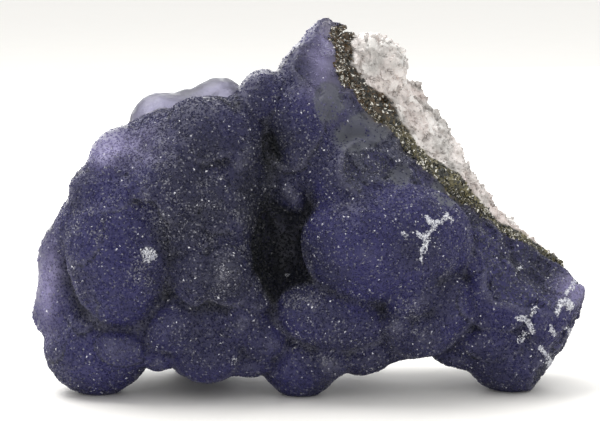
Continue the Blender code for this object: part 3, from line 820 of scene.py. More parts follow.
# Bruises and scratches, as lines: x and z of both ends, and the width.
BRUISES = [
    (19.4, 31.6, 22.6, 32.2, 0.35), (22.6, 32.2, 24.4, 30.8, 0.45), (24.4, 30.8, 23.4, 28.4, 0.65),
    (23.4, 28.4, 23.0, 26.2, 0.35), (24.4, 30.8, 26.0, 33.6, 0.45), (26.0, 33.6, 24.6, 35.4, 0.55),
    (26.0, 33.6, 28.6, 36.0, 0.4), (28.6, 36.0, 29.2, 34.2, 0.3), (42.4, 15.0, 44.6, 14.6, 0.5),
    (44.6, 14.6, 45.8, 12.4, 0.9), (44.4, 12.4, 43.4, 10.6, 0.5), (45.6, 16.0, 46.4, 17.6, 0.3),
    (46.8, 9.2, 48.6, 7.0, 0.6), (48.6, 7.0, 49.0, 4.6, 1.0), (52.4, 20.0, 54.4, 22.6, 0.3),
    (51.6, 18.6, 53.8, 17.4, 1.1), (50.6, 16.0, 51.4, 18.2, 0.6), (52.8, 12.4, 53.4, 10.0, 0.8),
    (49.0, 13.2, 50.0, 11.6, 0.4), (-14.8, 6.2, -14.4, 7.6, 0.15), (-13.9, 6.0, -13.6, 7.2, 0.15),
    (43.2, 25.2, 43.5, 25.7, 0.3), (-3.5, 23.4, -3.2, 23.9, 0.22),
]

# The druse's cubes: how much they lean, how their edges vary, and the share of an edge that is sunk.
CUBE_LEAN = 0.28
CUBE_SPREAD = (0.6, 1.25)
CUBE_SINK = 0.15

# Flakes on the bruises.
FLAKE_COUNT = 2600
FLAKE_LEAN = 0.5
FLAKE_EDGES = (0.15, 0.42)
FLAKE_SINK = 0.1

# Grains of the seam: the skin that they lie on, its node, how many, and the seed.
SEAM_GRAINS = (
    ("fluorite_crust", "botryoidal_fluorite", 9000, 401),
    ("quartz_rock", "quartz_matrix", 14000, 402),
)
GRAIN_LEAN = 0.5
GRAIN_EDGES = (0.25, 0.7)
GRAIN_SINK = 0.2

# Quartz crystals: the least radius, how much the largest adds to it, the rise of the shoulder and the
# height of the point in radii, and how deep the foot stands in the stone.
CRYSTAL_LEAN = 0.35
CRYSTAL_RADIUS = 0.14
CRYSTAL_GROWTH = 0.4
CRYSTAL_RISES = (0.1, 0.9)
CRYSTAL_POINT = 0.8
CRYSTAL_SINK = 1.2

# Flat sections of lobes on the fracture: x, z, half length, half width and tilt in degrees.
SECTIONS = [
    (4.8, 58.2, 2.7, 4.0, 0), (12.0, 52.6, 6.2, 3.6, 25),
    (19.1, 43.6, 2.5, 2.0, 30), (29.4, 41.2, 3.9, 3.6, 0),
]


def as_seen(points):
    """Where the front view shows points, on the plane through its middle: each moved towards the middle
    along the line of sight, by the view's distance over the point's own."""
    away = points - VIEW_MIDDLE
    back = np.array((0, -math.cos(VIEW_ELEVATION), math.sin(VIEW_ELEVATION)))
    up = np.array((0, math.sin(VIEW_ELEVATION), math.cos(VIEW_ELEVATION)))
    scale = VIEW_DISTANCE / (VIEW_DISTANCE - away @ back)
    return np.stack([VIEW_MIDDLE[0] + away[:, 0] * scale, VIEW_MIDDLE[2] + (away @ up) * scale], -1)


def patches(seen, spots, spread):
    """How near each place is to the middles of oval patches, from 0 to 1: the greatest e^(-spread · r²)."""
    found = np.zeros(len(seen))
    for x, z, wide, high in spots:
        found = np.maximum(found, np.exp(-spread * (((seen - (x, z)) / (wide, high)) ** 2).sum(-1)))
    return found


def line_distance(spots, start, end):
    """The distance from spots on a plane to a straight line between two points."""
    start, end = np.array(start), np.array(end)
    along = end - start
    share = np.clip(((spots - start) @ along) / along.dot(along), 0, 1)
    return np.linalg.norm(spots - start - share[:, None] * along, axis=-1)


def facing_front(normals):
    """From 0 where a skin faces a little back to 1 where it faces a little to the front."""
    return smoothly(-normals[:, 1], -0.1, 0.15)


def front_marks(points, normals):
    """The marks that the front shows, at each point that faces the front: dust, grey patches, pale patches of
    painted light, bruises, the round spot, the flat sections with their rims, and the seam's stain, each from
    0 to 1."""
    front = facing_front(normals)
    even = as_seen(points)
    seen = even + 0.5 * np.stack([smooth_noise(points, 1.1, s) for s in (61, 62)], -1)
    wavy = even + 2.0 * np.stack([smooth_noise(points, 5.0, s) for s in (63, 64)], -1)
    dust = patches(wavy, DUST_PATCHES, 0.9) * smoothly(smooth_noise(points, 1.8, 67), -0.4, 0.3)
    grey = patches(wavy, GREY_PATCHES, 0.7)
    pale = patches(wavy, PALE_LIGHT_PATCHES, 0.7)
    bruise = np.zeros(len(points))
    for *ends, width in BRUISES:
        off = line_distance(seen, ends[:2], ends[2:])
        bruise = np.maximum(bruise, 1 - smoothly(off, width * 0.25, width * 0.7))
    from_spot = np.linalg.norm(even - ROUND_SPOT[:2] + 0.2 * (seen - even), axis=-1)
    spot = 1 - smoothly(from_spot, ROUND_SPOT[2] * 0.75, ROUND_SPOT[2] * 1.15)
    section = np.zeros(len(points))
    rim = np.zeros(len(points))
    for x, z, long, wide, tilt in SECTIONS:
        turn = math.radians(tilt)
        axes = np.array(((math.cos(turn), -math.sin(turn)), (math.sin(turn), math.cos(turn))))
        out = np.linalg.norm((seen - (x, z)) @ axes / (long, wide), axis=-1)
        section = np.maximum(section, 1 - smoothly(out, 0.9, 1.1))
        rim = np.maximum(rim, np.exp(-((out - 0.98) / 0.14) ** 2))
    seam = seam_share(even)
    stain = smoothly(seam, -0.3, 0.3) * smoothly(even[:, 1], 27.0, 29.5)
    found = dict(
        dust=dust, grey=grey, pale=pale, bruise=bruise, spot=spot, section=section, rim=rim, stain=stain
    )
    return {name: values * front for name, values in found.items()}


def olive_share(points):
    """How olive the seam is rather than rusty: more towards its lower end, with a slow wave."""
    return 1 - smoothly(points[:, 2] + 3 * smooth_noise(points, 6, 68), 49, 56)


def seam_share(seen):
    """How far across the seam a place is, as the front shows it: 0 at its edge towards the fluorite and
    1 at its edge towards the quartz, with a ragged wave."""
    low, high = (np.interp(seen[:, 1], SEAM_HEIGHTS, side) for side in (SEAM_FLUORITE_SIDE, SEAM_QUARTZ_SIDE))
    flat = np.stack([seen[:, 0], 0 * seen[:, 0], seen[:, 1]], -1)
    ragged = 0.8 * smooth_noise(flat, 2.6, 65) + 0.5 * smooth_noise(flat, 0.9, 66)
    return (seen[:, 0] - low + ragged) / (high - low)


# Colours painted on the fluorite: painted light shining through where it is thin, painted light on the pale
# patches, the grey of its broken faces, and a line of painted light on the lobes' lips; and how far the first
# two go.
BACKLIT_THIN_VIOLET = (0.125, 0.118, 0.25, 1)
PALE_LIGHT_VIOLET = (0.30, 0.275, 0.47, 1)
FACET_GREY = (0.07, 0.075, 0.10, 1)
LIP_LIGHT_GREY = (0.14, 0.14, 0.19, 1)
BACKLIT_THIN_SHARE = 0.36
PALE_LIGHT_SHARE = 0.8

# What the see-through fluorite takes out of the light, and how fast.
DEEP_VIOLET = (0.42, 0.40, 0.72, 1)
DEEP_DENSITY = 70.0

FLUORITE_IOR = 1.43
QUARTZ_IOR = 1.54


def body_colour(finish, place, looks, grey):
    """The fluorite's own colour: violet and indigo in slow clouds, and slate where it is greyer."""
    cloud = finish.noise(place, 0.014, 3.0)
    body = finish.blend(cloud.between(0.38, 0.62), rgba(looks.violet), rgba(looks.indigo))
    return finish.blend(grey * 0.7, body, rgba(looks.slate))


def fluorite_finish(looks):
    """Blue-violet fluorite: deep in the mass, clearer at thin rims and painted paler there as light shining
    through, dusted, bruised and stained, with painted shade in crevices, hollows and the valley, painted
    light on lips, ridges and pale patches, and painted glints.
    """
    finish = Finish("blue_violet_fluorite")
    place = finish.place()
    dust, grey, crevice_shade, thin, bruise = finish.marks("dust", "grey", "crevice_shade", "thin", "bruise")
    spot, section, rim, stain, ridge_light = finish.marks("spot", "section", "rim", "stain", "ridge_light")
    deep, clearer, broken, facet, pale = finish.marks("deep", "clear", "broken", "facet", "pale")
    mottle = finish.noise(place, 0.0035, 4.0)
    grain = finish.noise(place, 0.00042, 2.0, 0.7)
    speck = finish.add("ShaderNodeTexVoronoi", {}, {"Vector": place, "Scale": 1 / 0.0011})
    body = body_colour(finish, place, looks, grey)
    # painted light shining through the thin parts, as a paler violet
    body = finish.blend(thin * BACKLIT_THIN_SHARE, body, BACKLIT_THIN_VIOLET)
    body = finish.blend(broken * facet.between(0.3, 0.9) * 0.6, body, FACET_GREY)
    # painted light on the pale patches
    body = finish.blend(pale * PALE_LIGHT_SHARE, body, PALE_LIGHT_VIOLET)
    worn = grain.between(0.58, 0.75) * 0.3 * mottle.between(0.4, 0.65)
    body = finish.blend((dust * grain.between(0.5, 0.68)).most(worn), body, rgba(looks.frost))
    # painted glints: small pale specks
    painted_glints = (1 - speck.between(0.05, 0.16)) * 0.5 * grain.between(0.4, 0.6)
    body = finish.blend(painted_glints, body, (0.42, 0.42, 0.5, 1))
    # painted shade: near black in crevices, creases, hollows and the valley
    body = finish.blend((crevice_shade * 0.72).most(deep * 0.88), body, (0.007, 0.0085, 0.008, 1))
    body = finish.blend(section * 0.75, body, (0.07, 0.075, 0.085, 1))
    body = finish.blend(rim * 0.3, body, (0.15, 0.16, 0.18, 1))
    # a line of painted light on the lobes' lips and sharp ridges
    body = finish.blend(ridge_light * 0.32, body, LIP_LIGHT_GREY)
    rust = finish.noise(place, 0.0022, 4.0, 0.65)
    earth = finish.blend(rust.between(0.42, 0.6), (0.012, 0.013, 0.010, 1), (0.12, 0.08, 0.033, 1))
    body = finish.blend((stain * mottle.between(0.2, 0.55, 0.6, 1.0)).least(1.0), body, earth)
    white = bruise.most(spot * grain.between(0.3, 0.55)) * mottle.between(0.3, 0.5, 0.6, 1.0)
    body = finish.blend(white, body, (0.62, 0.63, 0.66, 1))
    normal = finish.bump(grain, 0.00012)
    roughness = mottle.between(0.3, 0.7, 0.42, 0.62)
    values = {"IOR": FLUORITE_IOR, "Normal": normal}
    stone = finish.shader(body, roughness, {**values, "Specular IOR Level": 0.3})
    clear = finish.shader((0.9, 0.89, 0.96, 1), 0.3, {**values, "Transmission Weight": 1.0})
    opaque = (0.86 - thin * 0.4).most(stain).most(white).most(section * 0.9).most(dust * 0.8)
    opaque = opaque * (1 - clearer * 0.6)
    surface = finish.add("ShaderNodeMixShader", {}, {0: opaque, 1: clear, 2: stone})
    depth = {"Color": DEEP_VIOLET, "Density": DEEP_DENSITY}
    return finish.finished(surface, finish.add("ShaderNodeVolumeAbsorption", {}, depth))


def druse_finish(looks):
    """The small cubes of the druse: each a tone of its own, from the body's colour to pale, the palest few
    painted white as glints, with painted shade in crevices and hollows and painted light on thin parts, pale
    patches and lips.
    """
    finish = Finish("fluorite_druse")
    place = finish.place()
    tone, dust, grey, crevice_shade, stain = finish.marks("tone", "dust", "grey", "crevice_shade", "stain")
    thin, deep, pale, broken, ridge_light = finish.marks("thin", "deep", "pale", "broken", "ridge_light")
    body = body_colour(finish, place, looks, grey)
    body = finish.blend(broken * 0.5, body, (0.05, 0.054, 0.06, 1))
    # painted light shining through the thin parts, as a paler violet
    body = finish.blend(thin * BACKLIT_THIN_SHARE, body, BACKLIT_THIN_VIOLET)
    # painted light on the pale patches
    body = finish.blend(pale * PALE_LIGHT_SHARE, body, PALE_LIGHT_VIOLET)
    dark = (1 - tone.between(0.1, 0.5)) * (0.45 - thin * 0.4)
    body = finish.blend(dark, body, (0.008, 0.008, 0.014, 1))
    # a line of painted light on the lobes' lips and sharp ridges
    body = finish.blend(ridge_light * 0.28, body, LIP_LIGHT_GREY)
    body = finish.blend((tone + dust * 0.22 - thin * 0.25).between(0.78, 1.0), body, rgba(looks.frost))
    # painted glints: the palest few cubes are painted near white
    body = finish.blend(tone.between(0.985, 1.0), body, (0.7, 0.7, 0.75, 1))
    # painted shade: near black in crevices, creases, hollows and the valley
    body = finish.blend((crevice_shade * 0.68).most(deep * 0.85), body, (0.008, 0.0095, 0.009, 1))
    body = finish.blend(stain * 0.9, body, (0.03, 0.025, 0.018, 1))
    texture = finish.noise(place, 0.00015, 2.0)
    values = {"IOR": FLUORITE_IOR, "Specular IOR Level": 0.35, "Normal": finish.bump(texture, 0.00002)}
    return finish.finished(finish.shader(body, texture.between(0.3, 0.7, 0.25, 0.5), values))


def quartz_finish(looks, name, clearness):
    """White to grey quartz, stained brown and moss green towards the contact with the fluorite."""
    finish = Finish(name)
    place = finish.place()
    stain, tone, olive = finish.marks("stain", "tone", "olive")
    cloud = finish.noise(place, 0.006, 4.0, 0.6)
    pink = finish.noise(place, 0.011, 2.0)
    sugar = finish.noise(place, 0.0007, 3.0, 0.7)
    body = finish.blend(cloud.between(0.4, 0.62), rgba(looks.white), rgba(looks.grey))
    body = finish.blend(pink.between(0.45, 0.7) * 0.45, body, (0.55, 0.42, 0.39, 1))
    body = finish.blend(sugar.between(0.5, 0.7) * 0.5, body, (0.80, 0.78, 0.76, 1))
    body = finish.blend(tone.between(0.75, 1.0) * 0.5, body, (0.86, 0.85, 0.83, 1))
    body = finish.blend((1 - tone.between(0.0, 0.3)) * 0.5, body, (0.30, 0.28, 0.26, 1))
    rust = finish.noise(place, 0.003, 4.0, 0.65)
    earth = finish.blend(olive, (0.10, 0.055, 0.022, 1), (0.17, 0.15, 0.07, 1))
    earth = finish.blend(rust.between(0.42, 0.62) * (0.75 + olive * 0.25), (0.012, 0.013, 0.010, 1), earth)
    body = finish.blend(stain.between(0.1, 0.8), body, earth)
    values = {
        "IOR": QUARTZ_IOR,
        "Transmission Weight": clearness,
        "Subsurface Weight": 0.0 if clearness else 0.12,
        "Subsurface Radius": (0.002, 0.0018, 0.0016),
        "Subsurface Scale": 1.0,
        "Normal": finish.bump(sugar, 0.0002),
    }
    return finish.finished(finish.shader(body, sugar.between(0.3, 0.7, 0.2, 0.45), values))


def seam_finish():
    """The grains of the seam: black, brown, olive or white, as each one's own tone says."""
    finish = Finish("seam_grains")
    place = finish.place()
    tone, olive = finish.marks("tone", "olive")
    earth = finish.blend(olive, (0.085, 0.048, 0.018, 1), (0.12, 0.105, 0.045, 1))
    body = finish.blend(tone.between(0.35, 0.6), (0.012, 0.013, 0.011, 1), earth)
    body = finish.blend(tone.between(0.72, 0.85) * 0.8, body, (0.22, 0.20, 0.15, 1))
    body = finish.blend(tone.between(0.87, 0.92), body, (0.78, 0.76, 0.70, 1))
    texture = finish.noise(place, 0.0003, 2.0)
    values = {"Normal": finish.bump(texture, 0.00003)}
    return finish.finished(finish.shader(body, texture.between(0.3, 0.7, 0.2, 0.5), values))


def bruise_finish():
    """Bruised fluorite: white flakes with grey between them."""
    finish = Finish("bruised_fluorite")
    place = finish.place()
    texture = finish.noise(place, 0.0006, 3.0)
    body = finish.blend(texture.between(0.35, 0.65), (0.42, 0.43, 0.5, 1), (0.78, 0.79, 0.82, 1))
    values = {"Normal": finish.bump(texture, 0.00003)}
    return finish.finished(finish.shader(body, texture.between(0.3, 0.7, 0.3, 0.6), values))


class SPECIMEN_OT_fluorite(bpy.types.Operator):
    """Makes the fluorite crust: lobes and domes, cut by the fracture, with the right dome standing proud"""

    bl_idname = "specimen.fluorite"
    bl_label = "Fluorite Crust"

    def execute(self, context):
        looks = context.scene.fluorite_looks
        low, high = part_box("botryoidal_fluorite")
        space = Lattice(np.array(low) / MM + MIDDLE, np.array(high) / MM + MIDDLE, looks.cell / MM)
        mass = space.overgrown(space.lobes(MASS_LOBES), *MASS_WEAR)
        mass = np.minimum(mass, space.overgrown(space.lobes(PEAK_LOBES), *PEAK_WEAR))
        mass = space.with_front_relief(mass + SUNK)
        clear = space.overgrown(space.lobes(CLEAR_LOBES), *CLEAR_WEAR)
        mass = joined(np.minimum(mass, clear), space.domes(LEFT_DOMES, LEFT_FILLET), LEFT_FILLET)
        dome = space.domes(RIGHT_DOMES, RIGHT_FILLET)
        fracture = space.above(BREAK_FRAME, broken_face, BREAK_ROUGHNESS, BREAK_SEED)
        tip = space.above(TIP_FRAME, flat_face, TIP_ROUGHNESS, TIP_SEED)
        hollow = np.minimum(space.matrix(), space.domes(QUARTZ_LUMPS, LUMP_FILLET) - CONTACT_GAP)
        crust = joined(np.maximum.reduce([mass, fracture, tip]), dome, RIGHT_FILLET)
        crust = np.maximum.reduce([crust, -hollow, space.beyond])
        points, faces = space.skin(crust)
        normals = normals_of(points, faces)
        in_mass, in_dome = space.read(mass, points), space.read(dome, points)
        off = np.minimum(np.abs(space.read(fracture, points)), np.abs(space.read(tip, points)))
        cut = smoothly(-off, -0.8, -0.3)
        broken = cut * smoothly(-in_mass, 0.1, 0.7) * smoothly(in_dome, 0.1, 0.7)
        contact = space.read(hollow, points)
        marks = front_marks(points, normals)
        near = space.read(space.fullness(crust, CREVICE_REACH), points)
        close = space.read(space.fullness(crust, CREASE_REACH), points)
        # painted shade: the colour is darkened in creases and crevices, where much stone lies round a point
        crowded_shade = np.maximum(smoothly(near, 0.58, 0.76), 0.7 * smoothly(close, 0.54, 0.64))
        _, edge, down = front_relief(points[:, 0], points[:, 2])
        facing = smoothly(-normals[:, 1], -0.1, 0.2)
        low_edge = smoothly(down, -0.3, 0.4)
        # a line of painted light along the lower edges of the shallow lobes and the domes, and on sharp
        # ridges
        lip_light = smoothly(edge, 0.82, 0.9) * (1 - smoothly(edge, 0.91, 0.96)) * facing * low_edge
        lip_light = np.maximum(lip_light, dome_lip_light(points))
        marks["ridge_light"] = np.maximum(lip_light, 1 - smoothly(close, 0.36, 0.45)) * (1 - broken)
        # painted shade along the edges of the shallow lobes, strongest on their lower edges
        crease = smoothly(edge, 0.9, 0.98) * facing * (0.65 + 0.35 * low_edge)
        marks["crevice_shade"] = np.maximum(crowded_shade, crease * (1 - broken))
        # painted shade in the valley between the two domes
        valley = np.maximum.reduce([
            share * patches(as_seen(points) + 1.2 * smooth_noise(points, 4, 69)[:, None], [place], 1.0)
            for share, *place in SHADES
        ]) * smoothly(-normals[:, 1], -0.3, 0.1)
        # painted shade in the hollows, where much stone lies round a point, joined with the valley's
        around = space.read(space.fullness(crust, HOLLOW_REACH), points)
        marks["deep"] = np.maximum(smoothly(around, 0.5, 0.68), valley)
        # how thin the stone is along the front view's line of sight, on the left; it paints light shining
        # through there and lets more through the clear shader
        through = np.broadcast_to((crust < 0).sum(1)[:, None] * space.cell, crust.shape)
        slim = 1 - smoothly(space.read(through, points), 3, 14)
        slim *= smoothly(points[:, 2], 4, 20) * (1 - smoothly(points[:, 0], 6, 12))
        marks["thin"] = slim
        marks["broken"] = broken
        marks["clear"] = 1 - smoothly(space.read(clear, points), 0.1, 0.7)
        beside = np.exp(-(np.maximum(contact, 0) / 1.6) ** 1.5) * smoothly(broken, 0.2, 0.8)
        marks["stain"] = np.maximum(marks["stain"] * smoothly(broken, 0.1, 0.6), beside)
        wild = smooth_noise(points, 9, 71)
        behind = smoothly(wild, 0.45, 0.8) * smoothly(normals[:, 1], 0.1, 0.4)
        marks["dust"] = np.maximum(marks["dust"], behind)
        _, facet, way = nearest_seed(points, FACET_PITCH, 91)
        marks["facet"] = facet * broken * (1 - 0.8 * smoothly(points[:, 0], 25, 33))
        away, _, _ = nearest_seed(points, looks.wart_pitch / MM, 21)
        wart = (1 - np.minimum(away / 0.75, 1) ** 2 - 0.5) * looks.wart_height / MM
        relief = (0.4 * smooth_noise(points, 8, 11) + wart) * (1 - broken) - 0.2
        relief += 0.12 * smooth_noise(points, 1.3, 13) + 0.15 * marks["bruise"] + 0.15 * marks["spot"]
        relief += broken * (0.16 * leaning(facet, way) + 0.35 * (facet - 0.5))
        flat = np.where(contact < 0.6, 0, 1) * smoothly(points[:, 2], 0.1, 1.0)
        points = within_box(points + normals * (relief * flat)[:, None], low, high)
        piece = new_piece("fluorite_crust", points, faces, marks, fluorite_finish(looks), True)
        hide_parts("botryoidal_fluorite")
        return {"FINISHED"}


class SPECIMEN_OT_druse(bpy.types.Operator):
    """Grows the druse over the fluorite: tens of thousands of small cubes, each showing one corner"""

    bl_idname = "specimen.druse"
    bl_label = "Fluorite Druse"

    def execute(self, context):
        looks = context.scene.fluorite_looks
        finish = druse_finish(looks)
        kept_marks = ("dust", "grey", "crevice_shade", "stain", "thin", "deep", "pale", "broken", "ridge_light")
        points, faces, normals, marks = read_skin("fluorite_crust", (*kept_marks, "section", "clear"))
        weights = smoothly(points[:, 2], 0.2, 0.8) * (1 - 0.85 * marks["section"]) * (1 - 0.9 * marks["thin"])
        weights *= (0.6 + 0.8 * marks["dust"]) * (1 - marks["clear"])
        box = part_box("botryoidal_fluorite")
        for part in range(looks.druse_parts):
            draw = np.random.default_rng(100 + part)
            spots, ways, picks, shares = scattered(
                points, faces, normals, weights, looks.druse_count, CUBE_LEAN, draw
            )
            edges = looks.druse_edge / MM * draw.uniform(*CUBE_SPREAD, len(spots))
            shape, triangles = cube_corners(spots, ways, edges, CUBE_SINK, draw)
            kept = {name: at_spots(marks[name], picks, shares, 4) for name in kept_marks}
            kept["tone"] = np.repeat(draw.random(len(spots)), 4)
            piece = new_piece(f"druse_{part + 1}", within_box(shape, *box), triangles, kept, finish, False)
        return {"FINISHED"}


class SPECIMEN_OT_bruises(bpy.types.Operator):
    """Raises white flakes on the bruises, the scratches and the round spot"""

    bl_idname = "specimen.bruises"
    bl_label = "Bruises"

    def execute(self, context):
        points, faces, normals, marks = read_skin("fluorite_crust", ("bruise", "spot"))
        draw = np.random.default_rng(211)
        weights = marks["bruise"] + 0.6 * marks["spot"]
        spots, ways, _, _ = scattered(points, faces, normals, weights, FLAKE_COUNT, FLAKE_LEAN, draw)
        edges = draw.uniform(*FLAKE_EDGES, len(spots))
        shape, triangles = cube_corners(spots, ways, edges, FLAKE_SINK, draw)
        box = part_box("botryoidal_fluorite")
        piece = new_piece("bruise_flakes", within_box(shape, *box), triangles, {}, bruise_finish(), False)
        return {"FINISHED"}


class SPECIMEN_OT_quartz(bpy.types.Operator):
    """Makes the quartz: a blunt ellipsoid cut by the fracture and the back, with blocky, sugary faces"""

    bl_idname = "specimen.quartz"
    bl_label = "Quartz Matrix"

    def execute(self, context):
        looks = context.scene.quartz_looks
        low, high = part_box("quartz_matrix")
        space = Lattice(np.array(low) / MM + MIDDLE, np.array(high) / MM + MIDDLE, looks.cell / MM)
        stone = space.matrix() + CONTACT_GAP
        lump = space.domes(QUARTZ_LUMPS, LUMP_FILLET)
        contact = np.minimum(stone, lump - 2)
        fracture = space.above(BREAK_FRAME, broken_face, BREAK_ROUGHNESS, BREAK_SEED)
        behind = space.above(BACK_FRAME, back_face, BACK_ROUGHNESS, BACK_SEED)
        stone = joined(np.maximum.reduce([stone, fracture, behind]), lump, LUMP_FILLET)
        stone = np.maximum(stone, space.beyond)
        points, faces = space.skin(stone)
        normals = normals_of(points, faces)
        depth = -space.read(contact, points)
        open_face = smoothly(depth, 0.3, 1.2)
        away, number, way = nearest_seed(points, looks.block_size / MM, 51)
        block = 0.4 * (number - 0.5) + 0.3 * leaning(number, way)
        relief = open_face * (block + 0.15 * smooth_noise(points, 0.9, 53) - 0.15)
        points = within_box(points + normals * relief[:, None], low, high)
        front = facing_front(normals)
        stain = (1 - smoothly(seam_share(as_seen(points)), 0.6, 1.2)) * front
        stain = np.maximum(stain, np.exp(-depth / 0.9))
        marks = {"stain": stain, "tone": number, "olive": olive_share(points)}
        finish = quartz_finish(looks, "white_quartz", 0.0)
        piece = new_piece("quartz_rock", points, faces, marks, finish, False)
        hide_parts("quartz_matrix")
        return {"FINISHED"}


class SPECIMEN_OT_crystals(bpy.types.Operator):
    """Grows small clear quartz crystals over the open faces of the quartz"""

    bl_idname = "specimen.crystals"
    bl_label = "Quartz Crystals"

    def execute(self, context):
        looks = context.scene.quartz_looks
        points, faces, normals, marks = read_skin("quartz_rock", ["stain"])
        draw = np.random.default_rng(307)
        weights = smoothly(-marks["stain"], -0.3, -0.05)
        spots, ways, picks, shares = scattered(
            points, faces, normals, weights, looks.crystal_count, CRYSTAL_LEAN, draw
        )
        radii = CRYSTAL_RADIUS + CRYSTAL_GROWTH * draw.random(len(spots)) ** 4
        rises = radii * draw.uniform(*CRYSTAL_RISES, len(spots))
        shape, triangles = quartz_points(spots, ways, radii, rises, CRYSTAL_SINK, CRYSTAL_POINT, draw)
        kept = {"stain": at_spots(marks["stain"], picks, shares, 13), "olive": olive_share(shape)}
        kept["tone"] = np.repeat(draw.random(len(spots)), 13)
        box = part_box("quartz_matrix")
        finish = quartz_finish(looks, "clear_quartz", 0.3)
        piece = new_piece("quartz_crystals", within_box(shape, *box), triangles, kept, finish, False)
        return {"FINISHED"}


class SPECIMEN_OT_seam(bpy.types.Operator):
    """Sets dark, rusty and white grains along the seam between the fluorite and the quartz"""

    bl_idname = "specimen.seam"
    bl_label = "Seam Grains"

    def execute(self, context):
        finish = seam_finish()
        for name, node, count, seed in SEAM_GRAINS:
            points, faces, normals, marks = read_skin(name, ["stain"])
            draw = np.random.default_rng(seed)
            weights = smoothly(marks["stain"], 0.3, 0.9)
            spots, ways, _, _ = scattered(points, faces, normals, weights, count, GRAIN_LEAN, draw)
            edges = draw.uniform(*GRAIN_EDGES, count)
            shape, triangles = cube_corners(spots, ways, edges, GRAIN_SINK, draw)
            shape = within_box(shape, *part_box(node))
            kept = {"tone": np.repeat(draw.random(count), 4), "olive": olive_share(shape)}
            piece = new_piece(f"seam_on_{name}", shape, triangles, kept, finish, False)
        return {"FINISHED"}


# The studio: the floor's reach, the light from all round, and the lamps, as name, place, size, power and
# tint. They point at a spot in the middle of the specimen.
FLOOR_REACH = 3.0
STUDIO_WHITE = (1.0, 0.995, 0.98, 1)
STUDIO_STRENGTH = 1.04
LAMPS = (
    ("top softbox", (-0.25, 0.1, 0.7), 0.5, 5.0, (1.0, 0.99, 0.97)),
    ("back softbox", (-0.1, 0.7, 0.3), 0.6, 3.0, (1.0, 1.0, 0.98)),
)
LAMP_AIM = (0, 0, 0.03)


def sweep_floor(reach, rings, turns):
    """A round floor: rings of points at growing distances, r = reach · (k / rings)², at nought height."""
    k, turn = np.meshgrid(np.arange(1, rings + 1), np.arange(turns) * math.tau / turns, indexing="ij")
    radius = reach * (k / rings) ** 2
    points = np.stack([radius * np.cos(turn), radius * np.sin(turn), 0 * radius], -1).reshape(-1, 3)
    points = np.concatenate([points, [(0, 0, 0)]])
    ring, step = np.meshgrid(np.arange(rings - 1), np.arange(turns), indexing="ij")
    after = (step + 1) % turns
    inner, outer = ring * turns, (ring + 1) * turns
    quads = np.stack([inner + step, outer + step, outer + after, inner + after], -1)
    middle = np.array([(len(points) - 1, s, (s + 1) % turns) for s in range(turns)])
    return points, quads.reshape(-1, 4), middle


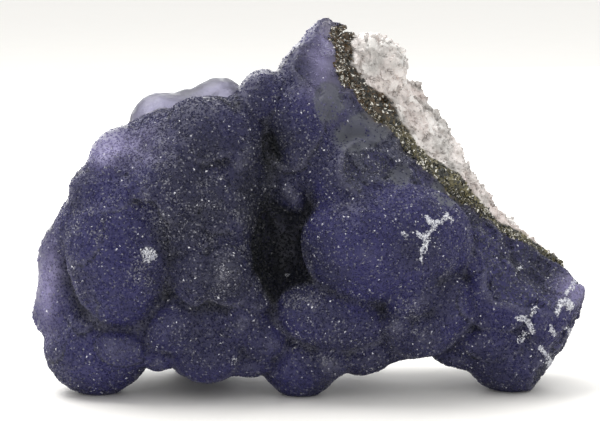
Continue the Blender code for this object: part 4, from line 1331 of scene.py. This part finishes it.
class SPECIMEN_OT_stage(bpy.types.Operator):
    """Sets the pale floor, the soft lights and the camera at the photograph's angle"""

    bl_idname = "specimen.stage"
    bl_label = "Stage"

    def execute(self, context):
        looks = context.scene.stage_looks
        points, quads, middle = sweep_floor(FLOOR_REACH, 24, 96)
        mesh = bpy.data.meshes.new("floor")
        mesh.from_pydata(points.tolist(), [], quads.tolist() + middle.tolist())
        floor = bpy.data.objects.new("floor", mesh)
        finish = Finish("pale_floor")
        place = finish.place()
        tone = finish.noise(place, 0.02, 3.0)
        shade = finish.blend(tone.between(0.3, 0.7) * 0.05, rgba(looks.floor), (0.7, 0.7, 0.68, 1))
        mesh.materials.append(finish.finished(finish.shader(shade, 0.7)))
        context.scene.collection.objects.link(floor)

        world = bpy.data.worlds.new("studio")
        world.use_nodes = True
        background = world.node_tree.nodes["Background"]
        background.inputs["Color"].default_value = STUDIO_WHITE
        background.inputs["Strength"].default_value = STUDIO_STRENGTH
        context.scene.world = world
        for name, spot, size, power, tint in LAMPS:
            lamp = bpy.data.lights.new(name, "AREA")
            lamp.size = size
            lamp.energy = power
            lamp.color = tint
            light = bpy.data.objects.new(name, lamp)
            light.location = spot
            light.visible_camera = False
            aim = Vector(LAMP_AIM) - light.location
            light.rotation_euler = aim.to_track_quat("-Z", "Y").to_euler()
            context.scene.collection.objects.link(light)

        camera = bpy.data.objects.new("camera", bpy.data.cameras.new("camera"))
        camera.data.lens = looks.lens
        target = Vector((VIEW_MIDDLE - MIDDLE) * MM)
        back = Vector((0, -math.cos(VIEW_ELEVATION), math.sin(VIEW_ELEVATION)))
        camera.location = target + back * VIEW_DISTANCE * MM
        camera.rotation_euler = (-back).to_track_quat("-Z", "Y").to_euler()
        context.scene.collection.objects.link(camera)
        context.scene.camera = camera
        context.scene.view_settings.view_transform = "Standard"
        return {"FINISHED"}


OPERATORS = (
    SPECIMEN_OT_fluorite,
    SPECIMEN_OT_druse,
    SPECIMEN_OT_bruises,
    SPECIMEN_OT_quartz,
    SPECIMEN_OT_crystals,
    SPECIMEN_OT_seam,
    SPECIMEN_OT_stage,
)


class SPECIMEN_PT_panel(bpy.types.Panel):
    """Lists the specimen's pieces in the sidebar"""

    bl_label = "Fluorite Specimen"
    bl_space_type = "VIEW_3D"
    bl_region_type = "UI"
    bl_category = "Fluorite"

    def draw(self, context):
        for operator in OPERATORS:
            self.layout.operator(operator.bl_idname)
        for looks in (context.scene.fluorite_looks, context.scene.quartz_looks, context.scene.stage_looks):
            box = self.layout.box()
            for name in looks.__annotations__:
                box.prop(looks, name)


LOOKS = {"fluorite_looks": FluoriteLooks, "quartz_looks": QuartzLooks, "stage_looks": StageLooks}


def register():
    for group in (*LOOKS.values(), *OPERATORS, SPECIMEN_PT_panel):
        bpy.utils.register_class(group)
    for name, group in LOOKS.items():
        setattr(bpy.types.Scene, name, bpy.props.PointerProperty(type=group))


def unregister():
    for name in LOOKS:
        delattr(bpy.types.Scene, name)
    for group in (SPECIMEN_PT_panel, *reversed(OPERATORS), *LOOKS.values()):
        bpy.utils.unregister_class(group)


def main():
    register()
    bpy.ops.specimen.fluorite()
    bpy.ops.specimen.druse()
    bpy.ops.specimen.bruises()
    bpy.ops.specimen.quartz()
    bpy.ops.specimen.crystals()
    bpy.ops.specimen.seam()
    bpy.ops.specimen.stage()


if __name__ == "__main__":
    main()
